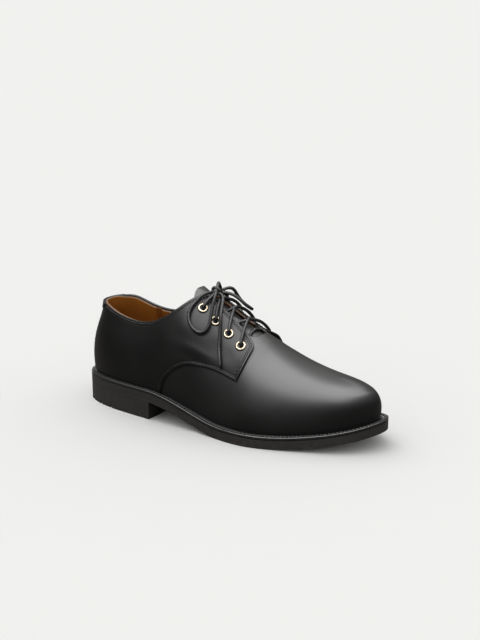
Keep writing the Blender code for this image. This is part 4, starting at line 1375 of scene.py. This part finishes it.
def profile_ring(profile, count, base, wave):
    """A closed profile carried round the outline: loops of edges are extruded, then bridged."""
    mesh_edit = bmesh.new()
    ring = bmesh.ops.create_circle(mesh_edit, segments=count, radius=1.0)["verts"]
    mesh_edit.verts.ensure_lookup_table()
    loops = [ring]
    edges = mesh_edit.edges[:]
    for _ in profile[1:]:
        made = bmesh.ops.extrude_edge_only(mesh_edit, edges=edges)["geom"]
        edges = [item for item in made if isinstance(item, bmesh.types.BMEdge)]
        loops.append([item for item in made if isinstance(item, bmesh.types.BMVert)])
    for loop, (inset, height, ridge) in zip(loops, profile):
        flat = edge_points(count, inset)
        angles = [round(atan2(vert.co.y, vert.co.x) / (2 * pi) * count) % count for vert in loop]
        for vert, k in zip(loop, angles):
            x, y = flat[k]
            vert.co = (x, y, base(x) + height - wave[k] * ridge)
    mesh_edit.edges.ensure_lookup_table()
    open_edges = [edge for edge in mesh_edit.edges if edge.is_boundary]
    bmesh.ops.bridge_loops(mesh_edit, edges=open_edges)
    bmesh.ops.recalc_face_normals(mesh_edit, faces=mesh_edit.faces)
    return mesh_edit


def make_welt():
    def base(x):
        return seat(x) + CLEAR - WELT_THICK

    run = run_length(edge_points(WELT_POINTS))
    phase = run / run[-1] * RIDGE_COUNT
    wave = RIDGE_DEPTH * (0.5 - 0.5 * np.cos(2 * pi * phase))
    profile = [(inset, height * (1 - CLEAR / WELT_THICK), ridge) for inset, height, ridge in WELT_PROFILE]
    mesh_edit = profile_ring(profile, WELT_POINTS, base, wave)
    data = finish_mesh("welt_strip", mesh_edit, WELT_SMOOTH_ANGLE)
    return add_piece("welt_strip", data, [welt_finish], ["welt"])


welt = make_welt()
print("welt has", len(welt.data.polygons), "faces")


# %% [markdown]
# The insole lies inside on the welt, with a tan sock of leather glued on top.

# %% Insole
INSOLE_ROUNDING = 0.0006


def make_insole():
    inset = ledge(edge_points(2 * SOLE_COLUMNS)[:, 0]) + UPPER_WALL + 3 * CLEAR
    mesh_edit = raise_slab(outline_grid(lambda x: seat(x) + CLEAR, inset), lambda x: seat(x) + INSOLE_THICK)
    data = finish_mesh("insole_sock", mesh_edit)
    made = add_piece("insole_sock", data, [lining_leather], ["insole"])
    round_edges(made, INSOLE_ROUNDING)
    return made


insole = make_insole()
print("insole has", len(insole.data.vertices), "points")

# %% [markdown]
# An eyelet is a tube of brass pushed through a hole and rolled over. Its profile is spun round the
# axis, then the ring is turned to the facing's slope. Its inner end, which no one sees, is left
# plain. Each of the eight rings stands for its own solid.

# %% Eyelets
EYELET_TURNS = 48
EYELET_SMOOTH_ANGLE = 60
# The ring's profile, columns: radius and height over the leather, metres
EYELET_PROFILE = (
    (0.00250, -0.0026), (0.00250, 0.0002), (0.00262, 0.00062), (0.00300, 0.00092), (0.00350, 0.00100),
    (0.00400, 0.00090), (0.00445, 0.00058), (0.00475, 0.00022), (0.00480, 0.0000), (0.00465, -0.00012),
    (0.00310, -0.00012), (0.00300, -0.0026),
)


def eyelet_frame(side, number):
    """Centre and outward direction of an eyelet on its facing."""
    row, part = EYELETS[number - 1]
    place = mirror_row(row, side)
    height = quarter_height(row, part, side) + CLEAR
    return Vector(on_last(place, part, height)[0]), Vector(last_normal(place, part)[0])


def turned(profile, steps, place, way, closed=False):
    """A profile of radius and height, spun round its axis and set on a place along a way."""
    mesh_edit = bmesh.new()
    corners = [mesh_edit.verts.new((radius, 0, height)) for radius, height in profile]
    following = corners[1:] + corners[:1] if closed else corners[1:]
    edges = [mesh_edit.edges.new(pair) for pair in zip(corners, following)]
    bmesh.ops.spin(mesh_edit, geom=corners + edges, cent=(0, 0, 0), axis=(0, 0, 1), angle=2 * pi,
                   steps=steps, use_merge=True)
    turn = Vector(way).to_track_quat("Z", "X").to_matrix().to_4x4()
    bmesh.ops.transform(mesh_edit, matrix=Matrix.Translation(place) @ turn, verts=mesh_edit.verts)
    return mesh_edit


def make_eyelet(side, number):
    point, normal = eyelet_frame(side, number)
    mesh_edit = turned(EYELET_PROFILE, EYELET_TURNS, point, normal, closed=True)
    name = f"eyelet_ring_{side}_{number}"
    data = finish_mesh(name, mesh_edit, EYELET_SMOOTH_ANGLE, outward=True)
    return add_piece(name, data, [brass], [f"eyelet_{side}_{number}"])


eyelets = [make_eyelet(side, number)
           for side in ("lateral", "medial")
           for number in range(1, len(EYELETS) + 1)]
print("made", len(eyelets), "eyelets")


# %% [markdown]
# Laces are curves with a round bevel, turned into meshes so that they carry a map in millimetres for
# the braid. The free ones, the bow's loops and its ends, repeat the routes of the solids: rows,
# parts and heights over the vamp.

# %% Lace helpers
LACE_STEP = 0.0011


def map_tube(data, points, radius):
    """Scale the tube's own map: u to millimetres along the points, v to millimetres around."""
    layer = data.uv_layers[0]
    layer.name = "cord_map"
    coords = np.empty(len(data.loops) * 2)
    layer.data.foreach_get("uv", coords)
    coords = coords.reshape(-1, 2) * [run_length(points)[-1] / MM, 2 * pi * radius / MM]
    layer.data.foreach_set("uv", coords.ravel())


def tube_data(name, points, radius, sides=2):
    """A round tube along points as a mesh, with a map of millimetres along and around."""
    curve = bpy.data.curves.new(name, "CURVE")
    curve.dimensions = "3D"
    curve.bevel_depth = radius
    curve.bevel_resolution = sides
    curve.use_fill_caps = True
    line = curve.splines.new("POLY")
    line.points.add(len(points) - 1)
    line.points.foreach_set("co", np.column_stack([points, np.ones(len(points))]).ravel())
    holder = bpy.data.objects.new(name + "_line", curve)
    bpy.context.scene.collection.objects.link(holder)
    data = bpy.data.meshes.new_from_object(holder)
    bpy.data.objects.remove(holder, do_unlink=True)
    bpy.data.curves.remove(curve)
    data.name = name
    map_tube(data, points, radius)
    data.shade_smooth()
    return data


print("lace helpers ready, a lace is", round(LACE / MM, 1), "mm thick")

# %% [markdown]
# The knot sits over the top pair of eyelets. Each lace starts just off it, so the same small
# ellipsoid as the solid's gives the starting points of the loops, the ends and the leads.

# %% Knot place
KNOT_SIZE = (0.0110, 0.0095, 0.0075)
KNOT_LEAN = radians(28)
KNOT_GAP = 0.0005
KNOT_ROW = 6.02
KNOT_SHIFT = (0, -0.0010, 0.0052)
knot_middle = Vector(last_point(KNOT_ROW, 1.0)[0] + KNOT_SHIFT)
knot_shape = Matrix.Rotation(KNOT_LEAN, 3, "Y") @ Matrix.Diagonal(KNOT_SIZE)


def at_knot(point):
    """Where a lace that comes from a point stops, just off the knot."""
    way = Vector(point) - knot_middle
    surface = way * (0.5 / (knot_shape.inverted() @ way).length)
    return np.array([knot_middle + surface + way.normalized() * KNOT_GAP])


print("knot at", [round(value, 4) for value in knot_middle])

# %% [markdown]
# The bow: two loops and two hanging ends, with a plastic tip on each end. Their routes are those of
# the solids, so they stay where the solids are. The real lengths are measured along the routes.

# %% Free laces
BOW_LATERAL = (
    (5.70, 0.910, 0.0044), (5.62, 0.850, 0.0036), (5.55, 0.785, 0.0036),
    (5.58, 0.715, 0.0036), (5.78, 0.655, 0.0036), (6.14, 0.640, 0.0036), (6.35, 0.712, 0.0048),
    (6.25, 0.820, 0.0084), (6.10, 0.915, 0.0128),
)
BOW_MEDIAL = (
    (19.86, 0.930, 0.0120), (19.60, 0.872, 0.0088), (19.22, 0.852, 0.0085),
    (18.95, 0.905, 0.0086), (19.10, 0.968, 0.0092), (19.52, 0.990, 0.0102),
)
END_LATERAL = (
    (6.31, 0.948, 0.0088), (6.50, 0.862, 0.0088), (6.63, 0.795, 0.0080),
    (6.76, 0.720, 0.0052), (6.86, 0.650, 0.0038), (6.92, 0.606, 0.0036), (7.21, 0.466, 0.0038),
)
END_MEDIAL = (
    (20.36, 0.955, 0.0075), (20.32, 0.870, 0.0038), (20.30, 0.800, 0.0036), (20.22, 0.730, 0.0036),
    (20.02, 0.650, 0.0036), (19.80, 0.570, 0.0036), (19.60, 0.430, 0.0038),
)
AGLET_TURNS = 20
AGLET_SMOOTH_ANGLE = 50
AGLET_GAP = 0.0001
# The tip's profile from end to end, columns: radius and height, metres
AGLET_PROFILE = (
    (0.0, 0.0), (0.00110, 0.0), (0.00138, 0.0003), (0.00140, 0.0020), (0.00128, 0.0024),
    (0.00140, 0.0028), (0.00140, 0.0150), (0.00125, 0.0163), (0.00080, 0.0169), (0.0, 0.0170),
)


def free_route(route, loop=False):
    """Points of a free lace from the knot, and back to it in a loop."""
    points = on_last(*np.array(route).T)
    back = at_knot(points[-1]) if loop else points[:0]
    return through(np.concatenate([at_knot(points[0]), points, back]), LACE_STEP)


def make_free_lace(name, points):
    data = tube_data(name + "_cord", points, LACE / 2)
    made = add_piece(name + "_cord", data, [lace_cord], [name])
    return made


def make_aglet(side, start, way):
    """A crimped plastic tip with rounded ends."""
    mesh_edit = turned(AGLET_PROFILE, AGLET_TURNS, start, way)
    data = finish_mesh(f"lace_tip_{side}", mesh_edit, AGLET_SMOOTH_ANGLE, outward=True)
    return add_piece(f"lace_tip_{side}", data, [tip_plastic], [f"aglet_{side}"])


loops = [
    make_free_lace("bow_loop_lateral", free_route(BOW_LATERAL, loop=True)),
    make_free_lace("bow_loop_medial", free_route(BOW_MEDIAL, loop=True)),
]
for side, route in (("lateral", END_LATERAL), ("medial", END_MEDIAL)):
    points = free_route(route[:-1])
    ahead = on_last(*route[-1])[0]
    way = (ahead - points[-1]) / np.linalg.norm(ahead - points[-1])
    tip = make_aglet(side, points[-1] + way * AGLET_GAP, way)
    make_free_lace(f"lace_end_{side}", points)

# %% [markdown]
# One lace runs through all eight eyelets. It starts as a bar under the lowest pair. Each half comes
# up through an eyelet, crosses over the tongue, dives under the other facing and comes up through
# the next eyelet there. Where the halves cross, one lies on the other.

# %% Lacing
OVER = QUARTER_STEP + 0.0010 + 2 * CLEAR + LACE / 2
UNDER = -0.0024
CROSS_OFFSET = 0.0014
# The bar under the lowest eyelets: rows past them, height and the parts that it passes
BAR_PAST = 0.06
BAR_HEIGHT = UNDER + 0.0004
BAR_PARTS = (0.930, 0.840)
# The way up through an eyelet, columns: distance over its middle, distance towards the ridge
EYELET_PASSAGE = ((-0.0046, 0.0012), (-0.0016, 0.0), (0.0012, 0.0004))
# From the top eyelet to the knot, columns: rows past it, parts over it, height more than OVER
LEAD = ((0.015, 0.040, 0.0000), (0.03, 0.070, 0.0002), (0.06, 0.115, 0.0006))
OTHER_SIDE = {"lateral": "medial", "medial": "lateral"}
# One crossing, columns: share of the step to the next eyelet's row, share of the eyelet's part kept,
# part added, height over the vamp, side (1 its own, -1 the other), share of the crossing offset
CROSSING = (
    (0.03, 0.93, 0.070, OVER - 0.0002, 1, 0.0), (0.22, 0.58, 0.420, OVER + 0.0001, 1, 0.2),
    (0.42, 0.20, 0.800, 0.0030, 1, 0.8), (0.50, 0.00, 1.000, 0.0020, 1, 1.0),
    (0.58, 0.00, 0.980, 0.0008, -1, 0.8), (0.74, 0.00, 0.945, -0.0010, -1, 0.3),
    (0.86, 0.00, 0.890, UNDER, -1, 0.0),
)


def through_eyelet(side, number):
    """Points from inside the shoe up through an eyelet."""
    point, normal = eyelet_frame(side, number)
    row, part = EYELETS[number - 1]
    place = mirror_row(row, side)
    inward = Vector(on_last(place, part + 0.03)[0] - on_last(place, part)[0]).normalized()
    return [point + normal * over + inward * beside for over, beside in EYELET_PASSAGE]


def lace_half(start_side, level):
    """The points of one half of the lace, from the middle of the bar to the knot."""
    side = start_side
    row = EYELETS[-1][0] + BAR_PAST
    points = [(on_last(row, 1.0, BAR_HEIGHT)[0] + on_last(LOOP - row, 1.0, BAR_HEIGHT)[0]) / 2]
    points += [on_last(mirror_row(row, side), part, BAR_HEIGHT)[0] for part in BAR_PARTS]
    for number in range(len(EYELETS), 1, -1):
        points += through_eyelet(side, number)
        row, part = EYELETS[number - 1]
        next_row = EYELETS[number - 2][0]
        for step, kept, added, height, turn, offset in CROSSING:
            place = row + (next_row - row) * step
            at_side = side if turn > 0 else OTHER_SIDE[side]
            height = height + level * CROSS_OFFSET * offset
            points.append(on_last(mirror_row(place, at_side), part * kept + added, height)[0])
        side = OTHER_SIDE[side]
    points += through_eyelet(side, 1)
    row, part = EYELETS[0]
    for past, more, rise in LEAD:
        points.append(on_last(mirror_row(row + past, side), part + more, OVER + rise)[0])
    points.append(at_knot(points[-1])[0])
    return through(np.array(points, float), LACE_STEP)


lace_nodes = {
    "lateral": ["lace_bar", "lace_cross_1", "lace_lead_lateral"],
    "medial": ["lace_cross_2", "lace_cross_3", "lace_lead_medial"],
}
for side, level in (("lateral", 1), ("medial", -0.4)):
    points = lace_half(side, level)
    name = f"lace_run_{side}"
    add_piece(name, tube_data(name, points, LACE / 2), [lace_cord], lace_nodes[side])
    print(name, "is", round(float(run_length(points)[-1]) / MM), "mm long")


# %% [markdown]
# The knot itself is a short wrap of the lace round the strands, with one strand across below it.

# %% Knot
WRAP_RADIUS = 0.0031
WRAP_TURNS = 1.55
WRAP_POINTS = 60
WRAP_HALF_WIDTH = 0.0024
WRAP_LONG = 1.15
WRAP_FLAT = 0.75
KNOT_SIDES = 3
# The strand below the wrap, in metres from the knot's middle, is a little thicker than the lace
STRAND = (
    (0.0012, -0.0042, -0.0004), (0.0, -0.0016, 0.0008), (-0.0006, 0.0014, 0.0002), (0.0008, 0.0042, -0.0006),
)
STRAND_STEP = 0.0008
STRAND_THICKER = 1.15


def make_knot():
    turns = np.linspace(-0.5, 0.5, WRAP_POINTS) * 2 * pi * WRAP_TURNS
    wrap = np.column_stack([
        WRAP_RADIUS * WRAP_LONG * np.sin(turns),
        np.linspace(-1, 1, WRAP_POINTS) * WRAP_HALF_WIDTH,
        WRAP_RADIUS * WRAP_FLAT * np.cos(turns),
    ])
    turn = Matrix.Rotation(KNOT_LEAN, 3, "Y")
    mesh_edit = bmesh.new()
    for line, thicker in ((wrap, 1.0), (through(STRAND, STRAND_STEP), STRAND_THICKER)):
        points = np.array([knot_middle + turn @ Vector(point) for point in line])
        part = tube_data("knot_part", points, LACE / 2 * thicker, KNOT_SIDES)
        mesh_edit.from_mesh(part)
        bpy.data.meshes.remove(part)
    data = mesh_from("lace_knot_wrap", mesh_edit)
    data.shade_smooth()
    return add_piece("lace_knot_wrap", data, [lace_cord], ["lace_knot"])


knot = make_knot()
print("knot has", len(knot.data.vertices), "points")


# %% [markdown]
# Stitches are what tells a shoe from a toy. One stitch is a short thread that dives into the leather
# at both ends, so a long thin ball, half sunk in the leather, is laid at each place of a seam. The
# facings have two rows beside the edge. The quarters' lower edge has one, with two short rows behind
# the facing's corner as a tack. The welt has thicker ones.

# %% Stitches
STITCH_SIDES = 8
STITCH_RINGS = 6
STITCH_RISE = 0.25
STITCH_LIFT = 0.00002
STITCH_RADIUS = 0.00040
STITCH_PITCH = 0.0026
FIRST_ROW_IN = 0.0023
SECOND_ROW_IN = 0.0039
TACK_ROWS_IN = (0.0065, 0.0090)


def stitch_mesh(name, lines, radius, pitch, cover=0.85):
    """One mesh with a stitch for each pitch of some lines; a line gives points and outward directions."""
    mesh_edit = bmesh.new()
    for points, normals in lines:
        run = run_length(points)
        count = max(1, int(run[-1] / pitch))

        def read(values, place):
            return Vector([np.interp(place, run, values[:, axis]) for axis in range(3)])

        for middle in (np.arange(count) + 0.5) * run[-1] / count:
            along = (read(points, middle + 0.3 * pitch) - read(points, middle - 0.3 * pitch)).normalized()
            side = read(normals, middle).cross(along).normalized()
            up = along.cross(side)
            turn = Matrix((side, up, along)).transposed().to_4x4()
            size = Matrix.Diagonal((radius, radius, pitch * cover / 2, 1))
            place = Matrix.Translation(read(points, middle) + up * radius * STITCH_RISE)
            bmesh.ops.create_uvsphere(mesh_edit, u_segments=STITCH_SIDES, v_segments=STITCH_RINGS,
                                      radius=1.0, matrix=place @ turn @ size)
    data = mesh_from(name, mesh_edit)
    data.shade_smooth()
    return data


def seam_line(table, start, end, distance, side, sign=1):
    """Points and directions of a seam beside an edge of the quarter."""
    fine = smooth_curve(table)(np.linspace(start, end, 400))
    places = shifted(fine, sign * distance, side)
    rows = mirror_row(places[:, 0], side)
    height = quarter_height(places[:, 0], places[:, 1], side)
    return on_last(rows, places[:, 1], height + STITCH_LIFT), last_normal(rows, places[:, 1])


def make_seams(side):
    end = len(QUARTER_TOP) - 1
    count = len(QUARTER_SEAM)
    lines = [
        seam_line(QUARTER_TOP, 0.3, end - 0.55, FIRST_ROW_IN, side, -1),
        seam_line(QUARTER_TOP, 8.6, end - 0.95, SECOND_ROW_IN, side, -1),
        seam_line(QUARTER_SEAM, 0.5, count - 1.35, FIRST_ROW_IN, side),
    ]
    lines += [seam_line(QUARTER_SEAM, count - 2.25, count - 1.55, tack, side) for tack in TACK_ROWS_IN]
    name = f"seams_{side}"
    return add_piece(name, stitch_mesh(name, lines, STITCH_RADIUS, STITCH_PITCH), [thread])


seams = [make_seams(side) for side in ("lateral", "medial")]
print("seams have", [len(seam.data.polygons) for seam in seams], "faces")

# %% [markdown]
# The welt's stitches are half as thick again as the upper's, and longer, and lie close together.
# They run all round, behind the heel too.

# %% Welt stitches
WELT_STITCH_INSET = 0.0028
WELT_STITCH_PITCH = 0.0034
WELT_STITCH_SINK = 0.0002
WELT_STITCH_RADIUS = 0.00062
WELT_STITCH_COVER = 0.95
WELT_SEAM_DETAIL = 1600


def make_welt_seam():
    flat = edge_points(WELT_SEAM_DETAIL, WELT_STITCH_INSET)
    flat = np.concatenate([flat, flat[:1]])
    height = seat(flat[:, 0]) - WELT_STITCH_SINK
    points = np.column_stack([flat, height])
    normals = np.tile([0.0, 0.0, 1.0], (len(points), 1))
    data = stitch_mesh("welt_seam", [(points, normals)], WELT_STITCH_RADIUS, WELT_STITCH_PITCH,
                       WELT_STITCH_COVER)
    return add_piece("welt_seam", data, [thread])


welt_seam = make_welt_seam()
print("welt seam has", len(welt_seam.data.polygons), "faces")

# %% [markdown]
# The studio's floor is pale paper that runs to the horizon. Dark leather shows mostly what it
# mirrors, so a gloss ray sees this floor dimmer than the camera does.

# %% Floor
FLOOR_HALF = 40.0
PAPER = (0.803, 0.802, 0.795)
PAPER_LIGHT = (0.808, 0.807, 0.800)
PAPER_MIRRORED = (0.26, 0.25, 0.24)


def make_floor():
    mesh_edit = bmesh.new()
    bmesh.ops.create_grid(mesh_edit, x_segments=4, y_segments=4, size=FLOOR_HALF)
    finish, tree, shader = new_finish("pale_paper", specular=0.0)
    fibres = noise(tree, object_place(tree), 40.0, 2.0)
    colour = mix_colours(tree, fibres, PAPER, PAPER_LIGHT)
    glossy = add_node(tree, "ShaderNodeLightPath").outputs["Is Glossy Ray"]
    colour = mix_colours(tree, glossy, colour, PAPER_MIRRORED)
    set_surface(tree, shader, colour, map_range(tree, fibres, 0.3, 0.7, 0.90, 0.95))
    made = bpy.data.objects.new("floor", mesh_from("floor", mesh_edit))
    made.data.materials.append(finish)
    bpy.context.scene.collection.objects.link(made)
    return made


floor = make_floor()
print(floor.name, "spans", round(2 * FLOOR_HALF), "m")


# %% [markdown]
# The lights: a white room all round, a very soft sun from high behind on the left, and a softbox
# overhead. A gloss ray sees its own room, dark towards the horizon and bright above. Only gloss sees
# the softbox, which draws the broad highlights, and only diffuse light sees the sun, which draws the
# soft shadow.

# %% Lights
ROOM_COLOUR = (1.0, 1.0, 0.985, 1)
ROOM_LIGHT = 0.86
ROOM_SEEN = 0.880
# Height of a mirrored direction, from horizon to high, and the room's brightness there
MIRRORED_HEIGHTS = (0.05, 0.75)
MIRRORED_LIGHT = (0.06, 1.40)
SUN_ENERGY = 0.85
SUN_ANGLE = 50
SUN_WAY = (0.55, -0.15, -1.0)
SOFTBOX_PLACE = (0.12, -0.33, 1.60)
SOFTBOX_AIM = (0.12, -0.33, 0.0)
SOFTBOX_SIZE = (1.9, 2.3)
SOFTBOX_POWER = 235


def make_world():
    """A white room; a gloss ray sees it dark near the horizon, a camera ray as bright as the floor."""
    world = bpy.data.worlds.new("studio")
    world.use_nodes = True
    tree = world.node_tree
    way = add_node(tree, "ShaderNodeTexCoord").outputs["Generated"]
    height = add_node(tree, "ShaderNodeSeparateXYZ", (("Vector", way),)).outputs["Z"]
    mirrored = map_range(tree, height, *MIRRORED_HEIGHTS, *MIRRORED_LIGHT)
    ray = add_node(tree, "ShaderNodeLightPath").outputs
    light = mix_numbers(tree, ray["Is Glossy Ray"], ROOM_LIGHT, mirrored)
    seen = mix_numbers(tree, ray["Is Camera Ray"], light, ROOM_SEEN)
    tree.links.new(seen, tree.nodes["Background"].inputs["Strength"])
    tree.nodes["Background"].inputs["Color"].default_value = ROOM_COLOUR
    bpy.context.scene.world = world


def place_light(data, way):
    """A light object that shines along a way."""
    made = bpy.data.objects.new(data.name, data)
    made.rotation_euler = Vector(way).to_track_quat("-Z", "Y").to_euler()
    bpy.context.scene.collection.objects.link(made)
    return made


def make_sun():
    data = bpy.data.lights.new("soft_key", "SUN")
    data.energy = SUN_ENERGY
    data.angle = radians(SUN_ANGLE)
    place_light(data, SUN_WAY).visible_glossy = False


def make_softbox():
    data = bpy.data.lights.new("overhead_softbox", "AREA")
    data.shape = "RECTANGLE"
    data.size, data.size_y = SOFTBOX_SIZE
    data.energy = SOFTBOX_POWER
    made = place_light(data, Vector(SOFTBOX_AIM) - Vector(SOFTBOX_PLACE))
    made.location = SOFTBOX_PLACE
    made.visible_diffuse = False


make_world()
make_sun()
make_softbox()
bpy.context.scene.view_settings.view_transform = "Standard"
